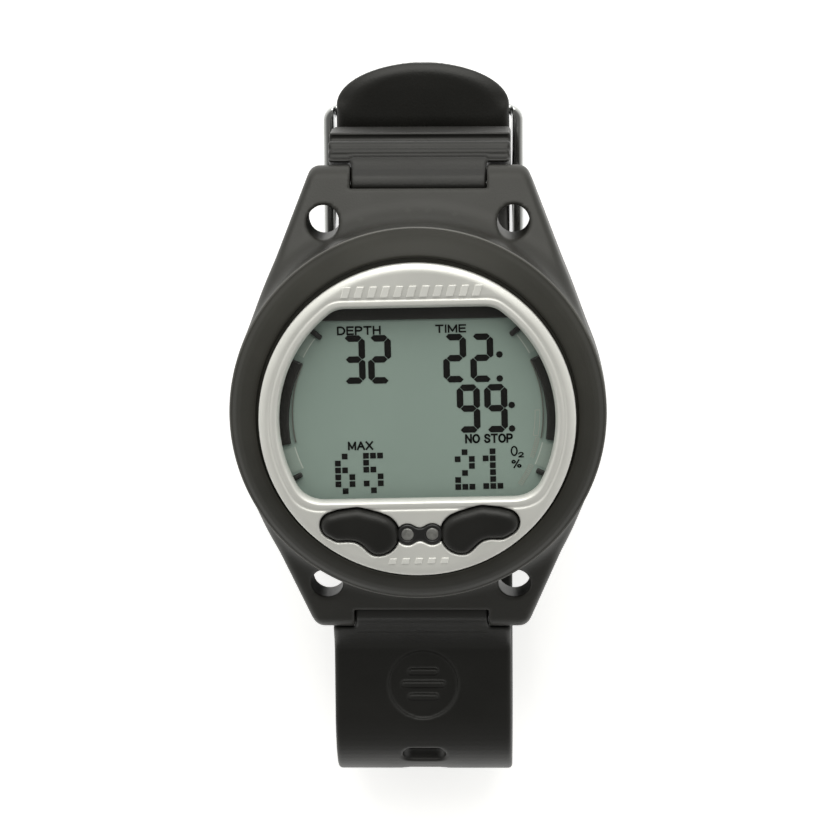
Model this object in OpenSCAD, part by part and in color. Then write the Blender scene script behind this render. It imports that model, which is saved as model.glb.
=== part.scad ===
// Wrist dive computer: round case with sloped lugs, bungee holes and a buckled rubber strap.
// +Z is the display normal, +Y is 12 o'clock, +X is the diver's right.
// The origin is the centre of the flat case back.

/* [Case] */
// Radius of the round case at its rim
case_r = 32; // [32:0.1:32.4]
// Height of the case rim above the back
rim_z = 16.5; // [16.5:0.1:16.8]
// Distance of the lug pivots from the centre
pivot_y = 37.1; // [36.9:0.1:37.3]
// Height of the lug pivots above the back
pivot_z = 1.6; // [1.4:0.1:1.8]
// Radius of the rounded lug tips
ear_r = 3.4; // [3.3:0.05:3.5]
// Width of the strap slot between the lugs
slot_w = 23.4; // [23.2:0.1:24]
// Diameter of the four bungee cord holes
cord_hole_d = 5.5; // [4:0.1:5.8]

/* [Face] */
// Radius of the silver face plate
plate_r = 26.9; // [26.7:0.1:27]
// Radius of the round sides of the display window
window_r = 23.7; // [23.4:0.1:23.9]
// Upper straight edge of the window
window_top = 19.6; // [19.2:0.1:19.8]
// Lower straight edge of the window
window_bottom = 13.9; // [13.6:0.1:14]
// Travel of the two push pads
pad_travel = 0.8; // [0.4:0.1:0.8]

/* [Battery] */
// Diameter of the coin cell
cell_d = 20; // [16:0.5:20]
// Thickness of the coin cell
cell_h = 3.2; // [1.6:0.1:3.2]
// Distance of the battery cap from the centre, towards 6 o'clock
cap_offset = 12.2; // [12:0.1:12.3]

/* [Strap] */
// Width of the strap
strap_w = 31.2; // [30.8:0.1:31.6]
// Width of the strap tail where it runs in the buckle
tail_w = 30.6; // [28:0.1:30.8]
// Thickness of the strap
strap_t = 2.6; // [2.4:0.1:2.6]
// Width of a strap slot across the strap
hole_w = 7.6; // [7.2:0.1:9]
// Length of a strap slot along the strap
hole_l = 3.4; // [3.2:0.1:3.6]

/* [Buckle] */
// Diameter of the buckle's centre bar
centre_bar_d = 1.4; // [1.2:0.1:1.4]
// Width of the buckle tongue
tongue_w = 5.5; // [4:0.1:6]
// Thickness of the buckle tongue
tongue_t = 1.2; // [0.8:0.1:1.2]

/* [Hidden] */
$fn = 64;

big = 60;                       // larger than any cut that it makes
fit_gap = 0.3;                  // clearance round a moving piece

// levels of the stack, from the back to the face
ledge_z = 2.4;                  // outer face of the ledge that the rear cover closes
cavity_z = 4;                   // floor of the electronics cavity
board_z = 9.6;                  // underside of the main board
board_t = 1.2;
board_top = board_z + board_t;
guide_z = 13.3;                 // underside of the light guide
glass_z = 14.9;                 // underside of the display glass
glass_t = 1.8;
mask_z = glass_z + glass_t + 0.1;
floor_z = 17.6;                 // underside of the bezel's inner floor
plate_z = 19.3;                 // seat of the face plate
plate_top = 21.1;               // crown of the face plate
pad_z = plate_z + pad_travel + 0.05;

// radii of the case cavity
cover_r = 28.6;
cover_seat_r = cover_r + 0.2;
ledge_r = 24.3;
lower_bore_r = 25.8;
upper_bore_r = 27;
screw_ring_r = 27.2;
boss_ring_r = 22.9;
boss_start = 90;                // angle of the first chassis boss
boss_r = 1.8;
gasket_r = 24.7;                // inner radius of the rear gasket
board_r = 26.3;
frame_r = 25.2;                 // radius of the display frame
glass_r = 24.6;
glass_edges = [18.9, 15.9];     // straight edges of the glass above and below its centre
guide_edges = [16.9, 13.9];
zebra_y = [17.3, -15.6];        // lower sides of the two connector strips
zebra_w = 27;
zebra_t = 1.4;
guide_r = 23.4;
screw_r = 0.6;                  // thread radius of all small screws
screw_head_r = 1.2;

// lugs
lug_slope = 25;                 // fall of the lug tops, in degrees
side_slope = 0.39;              // narrowing of each lug side, x per y
bite = 0.15;                    // how far the lugs sink into the round shapes that they meet
flank_d = case_r - bite;        // distance of the lug flanks from the case axis
side_x0 = flank_d * sqrt(1 + side_slope * side_slope);
tip_y = pivot_y + ear_r;
tip_x = side_x0 - side_slope * tip_y;
cord_hole_x = 16.2;
cord_hole_y = 31.5;
spring_bar_r = 0.9;
spring_bar_l = 28;
barrel_r = 2.6;
barrel_l = slot_w - 0.2;
swing_clear_r = ear_r + 0.4;    // full strap width starts outside this radius

// pads and contacts on the face
pad_tip = [-13.9, -17.75, 2.4];      // centre x, centre y, radius
pad_mid = [-10.9, -18.1, 2.95];
pad_palm = [-7.1, -19.8, 3.5];
pad_waist = [-12.0, -24.1, 3.3];
plunger_x = 8.6;
plunger_y = -19.1;
plunger_r = 1.4;
pin_x = 2.1;
pin_y = -19.9;
pin_r = 1.1;
pin_top = 20.9;

// battery bay
cell_z = 3.9;
bay_r = cell_d / 2 + 0.3;
bay_wall = 1.6;
flange_r = 11;

// parts on the underside of the board, as [x, y]
sensor_at = [13.5, 10];
buzzer_at = [-13.5, 10];
buzzer_r = 6;
buzzer_h = 2.8;

// strap loop, as a centre line in the YZ plane
front_z = -3.3;                 // centre line of the front run
bend_y = -57;                   // centre of the bend at 6 o'clock
bend_r = 12.7;
back_z = front_z - 2 * bend_r;  // centre line of the back run
low_bar_y = 18.5;               // buckle bar nearest 6 o'clock
mid_bar_y = 33;
top_bar_y = 46.8;
mid_bar_z = -25.7;
weave_z = -24.5;                // centre line where the tail passes over an end bar
tip_end_y = 55.4;
tip_end_z = -24.1;
tail_t = 2.4;
tail_from_y = 4;
bar_top_z = -26.3;              // upper face of the two end bars
frame_top_z = -25;
frame_bottom_z = -27.9;
rail_in_x = tail_w / 2 + 0.4;
rail_out_x = rail_in_x + 2.1;

// ---------------------------------------------------------------- helpers

// smooth step from 0 to 1
function ease(t) = (1 - cos(180 * t)) / 2;

// points of a smooth S between two points [y, z]
function s_run(a, b, n) =
    [for (i = [0 : n - 1]) [a[0] + (b[0] - a[0]) * i / n, a[1] + (b[1] - a[1]) * ease(i / n)]];

function unit(v) = v / norm(v);

// unit normal of a path at point i, on the left of its direction
function path_normal(p, i) =
    let (a = p[max(i - 1, 0)], b = p[min(i + 1, len(p) - 1)], d = unit(b - a)) [-d[1], d[0]];

// closed outline of a path with the half thickness h(i) on each side
function ribbon(p, half) = concat(
    [for (i = [0 : len(p) - 1]) p[i] + path_normal(p, i) * half[i]],
    [for (i = [len(p) - 1 : -1 : 0]) p[i] - path_normal(p, i) * half[i]]);

// a shape drawn in [y, z] and extruded along X, centred
module across(w) {
    rotate([90, 0, 90]) translate([0, 0, -w / 2]) linear_extrude(w) children();
}

// a rod along X, centred at [y, z]
module rod_x(r, l, at) {
    translate([0, at[0], at[1]]) rotate([0, 90, 0]) cylinder(r = r, h = l, center = true);
}

// window outline grown by d, with rounded corners
module window_2d(d = 0, corner = 3) {
    offset(r = corner) offset(delta = -corner) intersection() {
        circle(r = window_r + d, $fn = 96);
        translate([-big, -window_bottom - d]) square([2 * big, window_top + window_bottom + 2 * d]);
    }
}

// outline of one kidney-shaped pad on the left, grown by d
module pad_2d(d = 0) {
    difference() {
        hull() for (c = [pad_tip, pad_mid, pad_palm])
            translate([c[0], c[1]]) circle(r = c[2] + d, $fn = 32);
        translate([pad_waist[0], pad_waist[1]]) circle(r = pad_waist[2] - d, $fn = 32);
    }
}

// the figure-eight outline round the two contact pins, grown by d
module eight_2d(d = 0) {
    for (s = [-1, 1]) translate([s * pin_x, pin_y]) circle(r = 1.8 + d);
    translate([-pin_x, pin_y - 1.1 - d]) square([2 * pin_x, 2.2 + 2 * d]);
}

module both_sides() {
    children();
    mirror([1, 0, 0]) children();
}

module both_ends() {
    children();
    mirror([0, 1, 0]) children();
}

// ---------------------------------------------------------------- case

// side profile of one lug, drawn in [y, z]
module lug_profile() {
    r = ear_r - bite;
    top = [pivot_y + r * sin(lug_slope), pivot_z + r * cos(lug_slope)];
    shoulder_z = rim_z - 1;
    polygon([
        [0, 0], [29, 0], [pivot_y, pivot_z - r], top,
        [top[0] - (shoulder_z - top[1]) / tan(lug_slope), shoulder_z], [0, shoulder_z]
    ]);
    translate([pivot_y, pivot_z]) circle(r = ear_r);
}

// flat web that runs tangent from the round drum to the lugs
module flank_plan() {
    t = flank_d / sqrt(1 + side_slope * side_slope);
    polygon([
        [-t, side_slope * t], [-tip_x, tip_y], [tip_x, tip_y], [t, side_slope * t]
    ]);
}

module lug_pair() {
    intersection() {
        across(2 * case_r) lug_profile();
        translate([0, 0, -big]) linear_extrude(2 * big) flank_plan();
    }
}

module drum() {
    rotate_extrude($fn = 96) polygon([
        [0, 0], [30.2, 0], [31.2, 1], [31.6, 5], [case_r, 12], [case_r, rim_z], [0, rim_z]
    ]);
}

module case_cavity() {
    translate([0, 0, -1]) cylinder(r = ledge_r, h = cavity_z + 2);
    translate([0, 0, -1]) cylinder(r = cover_seat_r, h = ledge_z + 1);
    translate([0, 0, cavity_z]) cylinder(r = lower_bore_r, h = board_z - cavity_z + 0.5);
    translate([0, 0, board_z]) cylinder(r = upper_bore_r, h = big);
}

module gasket_ring(grow = 0) {
    rotate_extrude($fn = 96)
        translate([gasket_r - grow, ledge_z - grow]) square([1 + 2 * grow, 0.6 + grow]);
}

module screw_circle(n, r, start = 30) {
    for (i = [0 : n - 1]) rotate(start + i * 360 / n) translate([r, 0, 0]) children();
}

module strap_gap() {
    rod_x(barrel_r + 0.4, slot_w, [pivot_y, pivot_z]);
    translate([-slot_w / 2, pivot_y - 0.2, -big / 2]) cube([slot_w, big, big]);
    translate([-slot_w / 2, pivot_y - barrel_r - 0.2, pivot_z - big]) cube([slot_w, big, big]);
}

module case_body() {
    color("#2b2b2d") difference() {
        union() {
            drum();
            both_ends() lug_pair();
        }
        case_cavity();
        gasket_ring(0.05);
        both_ends() strap_gap();
        both_ends() rod_x(spring_bar_r + 0.05, spring_bar_l + 0.4, [pivot_y, pivot_z]);
        both_ends() both_sides() translate([cord_hole_x, cord_hole_y, -big / 2])
            cylinder(d = cord_hole_d, h = big);
        screw_circle(6, screw_ring_r) translate([0, 0, -1]) cylinder(r = screw_r, h = 7.6);
    }
}

module spring_bar() {
    rod_x(spring_bar_r, spring_bar_l, [pivot_y, pivot_z]);
}

module spring_bar_top() {
    color("silver") spring_bar();
}

module spring_bar_bottom() {
    color("silver") mirror([0, 1, 0]) spring_bar();
}

// ---------------------------------------------------------------- back

module rear_cover() {
    color("#242426") difference() {
        union() {
            cylinder(r = cover_r, h = ledge_z, $fn = 96);
            translate([0, -cap_offset, 0]) cylinder(r = bay_r + bay_wall, h = 5);
        }
        translate([0, -cap_offset, -1]) cylinder(r = bay_r, h = big);
        translate([0, -cap_offset, -1]) cylinder(r = flange_r + fit_gap, h = 2.3);
        translate([0, -cap_offset, 2.9]) cylinder(r = bay_r + 0.8, h = 0.9);
        translate([0, -cap_offset, 0]) rotate(45) cube([2 * bay_r + 1.6, 4, 6], center = true);
        screw_circle(6, screw_ring_r) translate([0, 0, -1]) {
            cylinder(r = screw_r + 0.05, h = big);
            cylinder(r = screw_head_r + 0.05, h = 2.15);
        }
        translate([sensor_at[0], sensor_at[1], -1]) cylinder(r = 1, h = big);
    }
}

module rear_gasket() {
    color("#8a2f2a") gasket_ring();
}

module rear_screws() {
    color("silver") screw_circle(6, screw_ring_r) difference() {
        union() {
            translate([0, 0, 0.15]) cylinder(r = screw_head_r, h = 1);
            translate([0, 0, 1.15]) cylinder(r = screw_r, h = 5);
        }
        translate([-0.2, -big / 2, -0.5]) cube([0.4, big, 1]);
    }
}

module battery_cap() {
    color("#303033") translate([0, -cap_offset, 0]) {
        difference() {
            union() {
                translate([0, 0, 0.15]) cylinder(r = flange_r, h = 1.05);
                translate([0, 0, 1.2]) cylinder(r = bay_r - 0.7, h = 2.4);
            }
            rotate_extrude() translate([bay_r - 1, 1.55]) square([1, 0.75]);
            translate([-7.5, -0.9, -1]) cube([15, 1.8, 1.9]);
        }
        // bayonet lugs, locked a quarter turn from their entry slots
        intersection() {
            difference() {
                translate([0, 0, 3.05]) cylinder(r = bay_r + 0.5, h = 0.55);
                translate([0, 0, 3]) cylinder(r = bay_r - 0.75, h = 1);
            }
            rotate(-15) cube([big, 3.2, big], center = true);
        }
    }
}

module battery_oring() {
    color("#1f1f1f") translate([0, -cap_offset, 1.925]) rotate_extrude()
        translate([bay_r - 0.5, 0]) circle(r = 0.35, $fn = 24);
}

module battery() {
    color("silver") translate([0, -cap_offset, cell_z]) {
        cylinder(d = cell_d, h = cell_h - 0.6);
        translate([0, 0, cell_h - 0.6]) cylinder(d = cell_d - 2.4, h = 0.6);
    }
}

module contact_positive() {
    color("gold") translate([cell_d / 2, -cap_offset - 2, cell_z + 1.3])
        cube([0.3, 4, board_z - cell_z - 1.3]);
}

module contact_negative() {
    color("gold") translate([-1.5, -cap_offset - 3, cell_z + cell_h]) {
        cube([3, 6, 0.3]);
        translate([0, 5.7, 0]) cube([3, 0.3, board_z - cell_z - cell_h]);
    }
}

module pressure_sensor() {
    color("#9c9ea2") translate([sensor_at[0], sensor_at[1], 0]) difference() {
        union() {
            translate([0, 0, 3.2]) cylinder(r = 4.2, h = 3.4);
            translate([0, 0, 6.6]) cylinder(r = 3.1, h = board_z - 6.6);
        }
        translate([0, 0, 3]) cylinder(r = 1.6, h = 2.2);
    }
}

module sensor_oring() {
    color("#1f1f1f") translate([sensor_at[0], sensor_at[1], ledge_z + 0.4]) rotate_extrude()
        translate([2.6, 0]) circle(r = 0.4, $fn = 24);
}

// ---------------------------------------------------------------- electronics

module inner_chassis() {
    color("#3a3b3f") difference() {
        union() {
            rotate_extrude($fn = 96) translate([ledge_r, cavity_z])
                square([lower_bore_r - 0.2 - ledge_r, board_z - cavity_z]);
            screw_circle(3, boss_ring_r, boss_start) translate([0, 0, cavity_z + 0.2])
                cylinder(r = boss_r, h = board_z - cavity_z - 0.2);
        }
        screw_circle(3, boss_ring_r, boss_start) translate([0, 0, 5.6])
            cylinder(r = screw_r, h = big);
    }
}

module chassis_screws() {
    color("silver") screw_circle(3, boss_ring_r, boss_start) {
        translate([0, 0, 6]) cylinder(r = screw_r, h = board_top - 6);
        difference() {
            translate([0, 0, board_top]) cylinder(r = screw_head_r, h = 0.9);
            translate([-0.2, -2, board_top + 0.5]) cube([0.4, 4, 1]);
        }
    }
}

module main_board() {
    color("#1d5b35") difference() {
        translate([0, 0, board_z]) cylinder(r = board_r, h = board_t, $fn = 96);
        screw_circle(3, boss_ring_r, boss_start) translate([0, 0, board_z - 1])
            cylinder(r = screw_r + 0.1, h = 4);
        // two keying flats for assembly
        both_sides() translate([board_r - 0.7, -3, board_z - 1]) cube([3, 6, 4]);
    }
}

// one chip with a row of legs on two sides, hanging under the board
module chip(w, l, h) {
    translate([-w / 2, -l / 2, board_z - h]) cube([w, l, h]);
    legs = floor(l / 1.3);
    for (i = [0 : legs - 1], s = [-1, 1])
        translate([s * (w / 2 + 0.3) - 0.35, (i - (legs - 1) / 2) * 1.3 - 0.25, board_z - 0.4])
            cube([0.7, 0.5, 0.4]);
}

module board_chips() {
    color("#202225") {
        translate([0, 8.5, 0]) chip(8, 8, 1.4);
        translate([0, 16.5, 0]) chip(6, 4, 1.2);
        translate([18.6, -2, 0]) chip(4, 5, 1.1);
        translate([-18.6, -2, 0]) chip(3, 6, 2);
    }
}

module buzzer() {
    color("#17181a") translate([buzzer_at[0], buzzer_at[1], board_z - buzzer_h]) difference() {
        cylinder(r = buzzer_r, h = buzzer_h);
        translate([0, 0, -1]) cylinder(r = 1, h = 1.8);
    }
}

module dome_switches() {
    color("#c9cbcf") both_sides() translate([-plunger_x, plunger_y, board_top]) {
        cylinder(r = 2.5, h = 0.6);
        translate([0, 0, 0.6]) cylinder(r = 1.5, h = 0.5);
    }
}

// outline of the light guide and the display, cut from a circle
module display_2d(r, top, bottom) {
    intersection() {
        circle(r = r, $fn = 96);
        translate([-big, -bottom]) square([2 * big, top + bottom]);
    }
}

module zebra_strips() {
    color("#d96f8a") for (y = zebra_y)
        translate([-zebra_w / 2, y, board_top]) cube([zebra_w, zebra_t, glass_z - board_top]);
}

module lcd_frame() {
    color("#d8d9d6") {
        difference() {
            translate([0, 0, 12.3]) cylinder(r = frame_r, h = glass_z - 12.3, $fn = 96);
            translate([0, 0, 12]) linear_extrude(4)
                display_2d(guide_r + 0.2, guide_edges[0] + 0.2, guide_edges[1] + 0.2);
            for (y = zebra_y) translate([-zebra_w / 2 - 0.2, y - 0.1, 12])
                cube([zebra_w + 0.4, zebra_t + 0.2, 4]);
            both_sides() translate([-plunger_x, plunger_y, 12]) cylinder(r = plunger_r + 0.5, h = 4);
            both_sides() translate([-pin_x, pin_y, 12]) cylinder(r = pin_r + 0.3, h = 4);
        }
        for (a = [0, 55, 125, 180]) rotate(a) translate([24.3, 0, board_top])
            cylinder(r = 0.7, h = 1.6);
    }
}

module light_guide() {
    color("#eef2ea") translate([0, 0, guide_z]) linear_extrude(1.5)
        display_2d(guide_r, guide_edges[0], guide_edges[1]);
}

module lcd_glass() {
    color("#8fa396") translate([0, 0, glass_z]) linear_extrude(glass_t)
        display_2d(glass_r, glass_edges[0], glass_edges[1]);
}

module lcd_mask() {
    color("#232826") translate([0, 0, mask_z]) linear_extrude(0.25) difference() {
        display_2d(glass_r, glass_edges[0], glass_edges[1]);
        display_2d(21.4, 16.7, 14.6);
    }
}

// ---------------------------------------------------------------- face

module bezel_ring() {
    color("#333336") difference() {
        rotate_extrude($fn = 96) polygon([
            [0, floor_z], [25.6, floor_z], [25.6, 15.3], [upper_bore_r - 0.1, 15.3],
            [upper_bore_r - 0.1, rim_z], [case_r, rim_z], [case_r, rim_z + 0.3],
            [30.7, 18.1], [29, 19.3], [27.6, 20.3], [plate_r + 0.2, 20.1],
            [plate_r + 0.2, plate_z], [0, plate_z]
        ]);
        translate([0, 0, floor_z - 1]) linear_extrude(4) window_2d(1.3);
        both_sides() translate([-plunger_x, plunger_y, floor_z - 1])
            cylinder(r = plunger_r + fit_gap, h = 4);
        both_sides() translate([-pin_x, pin_y, floor_z - 1]) cylinder(r = pin_r + 0.05, h = 4);
    }
}

module lens_gasket() {
    color("#161616") translate([0, 0, floor_z]) linear_extrude(plate_z - floor_z) difference() {
        window_2d(1.25);
        window_2d(0.85);
    }
}

module lens() {
    color("#dfe9e6") translate([0, 0, floor_z]) linear_extrude(1.5) window_2d(0.8);
}

module face_plate() {
    color("#b9bbbd") difference() {
        rotate_extrude($fn = 96) polygon([
            [0, plate_z], [plate_r, plate_z], [plate_r, 20.3], [plate_r - 0.3, 20.65],
            [plate_r - 1.6, 21], [plate_r - 3.4, plate_top], [0, plate_top]
        ]);
        translate([0, 0, plate_z - 1]) linear_extrude(4) window_2d();
        both_sides() translate([0, 0, plate_z - 1]) linear_extrude(4) pad_2d(fit_gap);
        translate([0, 0, plate_z - 1]) linear_extrude(4) eight_2d(0.1);
    }
}

// rubber pad with a stepped crown, and the plunger under it
module pad_button() {
    translate([0, 0, pad_z]) linear_extrude(1.2) pad_2d();
    translate([0, 0, pad_z + 1.2]) linear_extrude(0.4) pad_2d(-0.35);
    translate([0, 0, pad_z + 1.6]) linear_extrude(0.25) pad_2d(-0.9);
    translate([-plunger_x, plunger_y, board_top + 1.1 + pad_travel + 0.1])
        cylinder(r = plunger_r, h = pad_z - board_top - 1.1 - pad_travel);
}

module left_button() {
    color("#1c1c1e") pad_button();
}

module right_button() {
    color("#1c1c1e") mirror([1, 0, 0]) pad_button();
}

module button_seals() {
    color("#101010") both_sides() translate([-plunger_x, plunger_y, floor_z - 0.8])
        rotate_extrude() translate([plunger_r + 0.1, 0]) square([0.9, 0.8]);
}

module contact_housing() {
    color("#1a1a1c") difference() {
        translate([0, 0, plate_z]) linear_extrude(1.7) eight_2d();
        both_sides() translate([-pin_x, pin_y, 10]) cylinder(r = pin_r, h = big);
        both_sides() translate([0, 0, plate_z - 1]) linear_extrude(4) pad_2d(0.15);
    }
}

module contact_pins() {
    color("#c8cace") both_sides() translate([-pin_x, pin_y, board_top]) {
        cylinder(r = pin_r, h = pin_top - 0.2 - board_top);
        cylinder(r = pin_r - 0.25, h = pin_top - board_top);
    }
}

// ---------------------------------------------------------------- strap

function strap_path() = concat(
    s_run([-pivot_y - 1.2, 0.9], [-46, front_z], 8),
    [[-46, front_z], [-51, front_z]],
    [for (a = [90 : 9 : 270]) [bend_y + bend_r * cos(a), front_z - bend_r + bend_r * sin(a)]],
    [[-44, back_z], [-28, back_z], [-12, back_z], [tail_from_y, back_z]],
    s_run([8, back_z], [low_bar_y, weave_z], 7),
    s_run([low_bar_y, weave_z], [mid_bar_y, back_z], 10),
    s_run([mid_bar_y, back_z], [top_bar_y, weave_z], 10),
    [[top_bar_y, weave_z], [51, -24.25], [tip_end_y, tip_end_z]]);

function strap_half(p) = [for (q = p) (q[0] > tail_from_y ? tail_t : strap_t) / 2];

// rounded tail end: half ellipse in plan
module tail_plan() {
    end_l = 7.5;
    polygon(concat(
        [[-strap_w, -big * 2], [-strap_w, tail_from_y], [-tail_w / 2, tail_from_y]],
        [for (a = [180 : -10 : 0]) [tail_w / 2 * cos(a), tip_end_y - end_l + end_l * sin(a)]],
        [[tail_w / 2, tail_from_y], [strap_w, tail_from_y], [strap_w, -big * 2]]));
}

// a stadium-shaped slot through the strap at [y, z], turned by a about X
module strap_hole(y, z, a) {
    translate([0, y, z]) rotate([a, 0, 0]) {
        translate([-(hole_w - hole_l) / 2, -hole_l / 2, -3]) cube([hole_w - hole_l, hole_l, 6]);
        for (s = [-1, 1]) translate([s * (hole_w - hole_l) / 2, 0, -3])
            cylinder(d = hole_l, h = 6, $fn = 32);
    }
}

module strap_holes() {
    hole_pitch = 7.5;
    bend_z = front_z - bend_r;
    for (a = [131, 165, 199, 233])
        strap_hole(bend_y + bend_r * cos(a), bend_z + bend_r * sin(a), a - 90);
    for (i = [0 : 7]) strap_hole(-50 + hole_pitch * i, back_z, 0);
    strap_hole(25, (back_z + weave_z) / 2 + 0.15, -24);
}

module strap_long() {
    path = strap_path();
    color("#232325") difference() {
        intersection() {
            across(strap_w) polygon(ribbon(path, strap_half(path)));
            translate([0, 0, -big]) linear_extrude(2 * big) tail_plan();
        }
        rod_x(swing_clear_r, big, [-pivot_y, pivot_z]);
        strap_holes();
    }
    color("#232325") mirror([0, 1, 0]) barrel_neck();
}

// the knuckle on a spring bar and the neck that joins it to the strap
module barrel_neck() {
    difference() {
        union() {
            rod_x(barrel_r, barrel_l, [pivot_y, pivot_z]);
            across(barrel_l) polygon([
                [pivot_y, pivot_z + barrel_r], [pivot_y + 1.6, pivot_z + 2.1],
                [pivot_y + 4.4, 0.9], [pivot_y + 4.4, -1.6],
                [pivot_y + 2.6, -1.4], [pivot_y, pivot_z - barrel_r]
            ]);
        }
        rod_x(spring_bar_r + 0.15, big, [pivot_y, pivot_z]);
    }
}

// ---------------------------------------------------------------- strap link

function link_path() = concat(
    [[40.0, 0.3], [41.6, -1.2], [42.4, -3.2], [42.9, -6.5], [43.4, -10], [43.7, -13]],
    [for (a = [0 : 12 : 72]) [36.3 + 7.4 * cos(a), -15.2 - 7.4 * sin(a)]],
    [[36.0, -23.3], [34.4, -23.9]]);

// outer ribs across the link
module link_ribs() {
    for (p = [[43.2, -2.6, 1.2], [44.0, -8.2, 1.35]])
        rod_x(p[2], strap_w + 0.2, [p[0], p[1]]);
}

module link_plate() {
    path = link_path();
    half = [for (i = [0 : len(path) - 1]) i < 9 ? 1.35 : 1.35 - 0.05 * (i - 8)];
    difference() {
        union() {
            across(strap_w) polygon(ribbon(path, half));
            link_ribs();
        }
        rod_x(swing_clear_r, big, [pivot_y, pivot_z]);
    }
}

// two open cradles that bear on the centre bar, one on each side of the tongue
module link_cradles() {
    inner_r = centre_bar_d / 2 + 0.3;
    difference() {
        union() {
            rod_x(inner_r + 1.1, strap_w, [mid_bar_y, mid_bar_z]);
            across(strap_w) polygon([
                [33.2, -23.8], [36.4, -22.2], [36.4, -24.4], [34.6, -25.6], [33.2, -25]
            ]);
        }
        rod_x(inner_r, big, [mid_bar_y, mid_bar_z]);
        // mouth towards the way the bar leaves as the loop opens
        translate([0, mid_bar_y, mid_bar_z]) rotate([-34, 0, 0])
            translate([-big / 2, -big / 2, -big]) cube([big, big, big]);
    }
}

module strap_link() {
    color("#232325") difference() {
        union() {
            link_plate();
            link_cradles();
        }
        // window for the tongue's knuckle
        translate([-tongue_w / 2 - 0.6, 20, -30]) cube([tongue_w + 1.2, 16.2, 6.8]);
    }
    color("#232325") barrel_neck();
}

// ---------------------------------------------------------------- buckle

module rounded_plan(x, y0, y1, r) {
    for (s = [-1, 1], y = [y0 + r, y1 - r]) translate([s * (x - r), y]) circle(r = r, $fn = 32);
    translate([-x + r, y0]) square([2 * (x - r), y1 - y0]);
    translate([-x, y0 + r]) square([2 * x, y1 - y0 - 2 * r]);
}

module buckle_frame() {
    bar_half = 0.9;
    color("#d5d7da") difference() {
        translate([0, 0, frame_bottom_z]) linear_extrude(frame_top_z - frame_bottom_z)
            difference() {
                rounded_plan(rail_out_x, low_bar_y - bar_half, top_bar_y + bar_half, 2);
                translate([-rail_in_x, low_bar_y + bar_half])
                    square([2 * rail_in_x, top_bar_y - low_bar_y - 2 * bar_half]);
            }
        // the end bars lie lower than the rails, so that the tail runs over them
        translate([-rail_in_x, low_bar_y - 5, bar_top_z]) cube([2 * rail_in_x, big, 5]);
        rod_x(centre_bar_d / 2, 2 * rail_in_x + 1.6, [mid_bar_y, mid_bar_z]);
    }
}

module buckle_bar() {
    color("#d5d7da") rod_x(centre_bar_d / 2, 2 * rail_in_x + 1.6, [mid_bar_y, mid_bar_z]);
}

// the tongue runs over the strap, dips through its slot and rests under the end bar
function tongue_path() = [
    [32.2, -25], [29.5, -24.6], [27.2, -24.15], [26.1, -24.5], [25.5, -25.4],
    [24.6, -27.6], [24.1, -28.4], [23.1, -28.8], [20, -28.8], [16.9, -28.8]
];

module buckle_tongue() {
    path = tongue_path();
    half = [for (i = [0 : len(path) - 1]) tongue_t / 2];
    color("#d5d7da") difference() {
        union() {
            across(tongue_w) polygon(ribbon(path, half));
            rod_x(centre_bar_d / 2 + 0.8, tongue_w, [mid_bar_y, mid_bar_z]);
        }
        rod_x(centre_bar_d / 2 + 0.2, big, [mid_bar_y, mid_bar_z]);
    }
}

case_body();
bezel_ring();
face_plate();
lens();
lens_gasket();
lcd_mask();
lcd_glass();
light_guide();
lcd_frame();
zebra_strips();
main_board();
board_chips();
dome_switches();
inner_chassis();
chassis_screws();
left_button();
right_button();
button_seals();
contact_housing();
contact_pins();
pressure_sensor();
sensor_oring();
buzzer();
battery();
contact_positive();
contact_negative();
battery_cap();
battery_oring();
rear_cover();
rear_gasket();
rear_screws();
spring_bar_top();
spring_bar_bottom();
strap_long();
strap_link();
buckle_frame();
buckle_bar();
buckle_tongue();
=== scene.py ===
import math

import bmesh
import bpy
import numpy as np
from mathutils import Matrix, Vector


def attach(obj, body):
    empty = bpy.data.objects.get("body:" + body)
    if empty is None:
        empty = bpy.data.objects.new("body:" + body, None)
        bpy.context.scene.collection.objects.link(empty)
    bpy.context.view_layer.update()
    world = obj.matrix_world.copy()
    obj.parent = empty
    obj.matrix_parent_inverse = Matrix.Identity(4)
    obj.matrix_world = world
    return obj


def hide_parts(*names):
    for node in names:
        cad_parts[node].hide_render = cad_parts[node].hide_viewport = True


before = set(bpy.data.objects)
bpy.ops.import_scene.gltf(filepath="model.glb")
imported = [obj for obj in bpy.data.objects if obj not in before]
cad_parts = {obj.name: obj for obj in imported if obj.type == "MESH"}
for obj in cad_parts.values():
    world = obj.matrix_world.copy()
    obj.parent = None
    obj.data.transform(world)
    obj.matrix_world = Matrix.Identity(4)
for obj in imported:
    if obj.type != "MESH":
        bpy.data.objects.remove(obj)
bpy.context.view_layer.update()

# Lengths below are in millimetres, in the CAD frame: +Z display normal, +Y 12 o'clock.
MM = 0.001
AXIS = 0.001        # a turned plug's inner radius

# ------------------------------------------------------------------ driving sizes

CASE_R = 32.0
DRUM_R = CASE_R - 0.07
RIM_Z = 16.5
PIVOT_Y, PIVOT_Z = 37.1, 1.6
EAR_R = 3.4
LUG_ANGLE = math.radians(25)
UNDER_ANGLE = math.radians(13.15)
SIDE_SLOPE = 0.39
LUG_INSET = 0.15
SIDE_X0 = (CASE_R - LUG_INSET) * math.hypot(1, SIDE_SLOPE)
SLOT_HALF = 11.7
CORD_X, CORD_Y, CORD_R = 16.2, 31.5, 2.75
LOWER_BORE_R, LOWER_BORE_TOP = 24.3, 6
CHASSIS_BORE_R, CHASSIS_BORE_Z = 25.8, 4
UPPER_BORE_R, UPPER_BORE_Z = 27, 9.6

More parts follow.
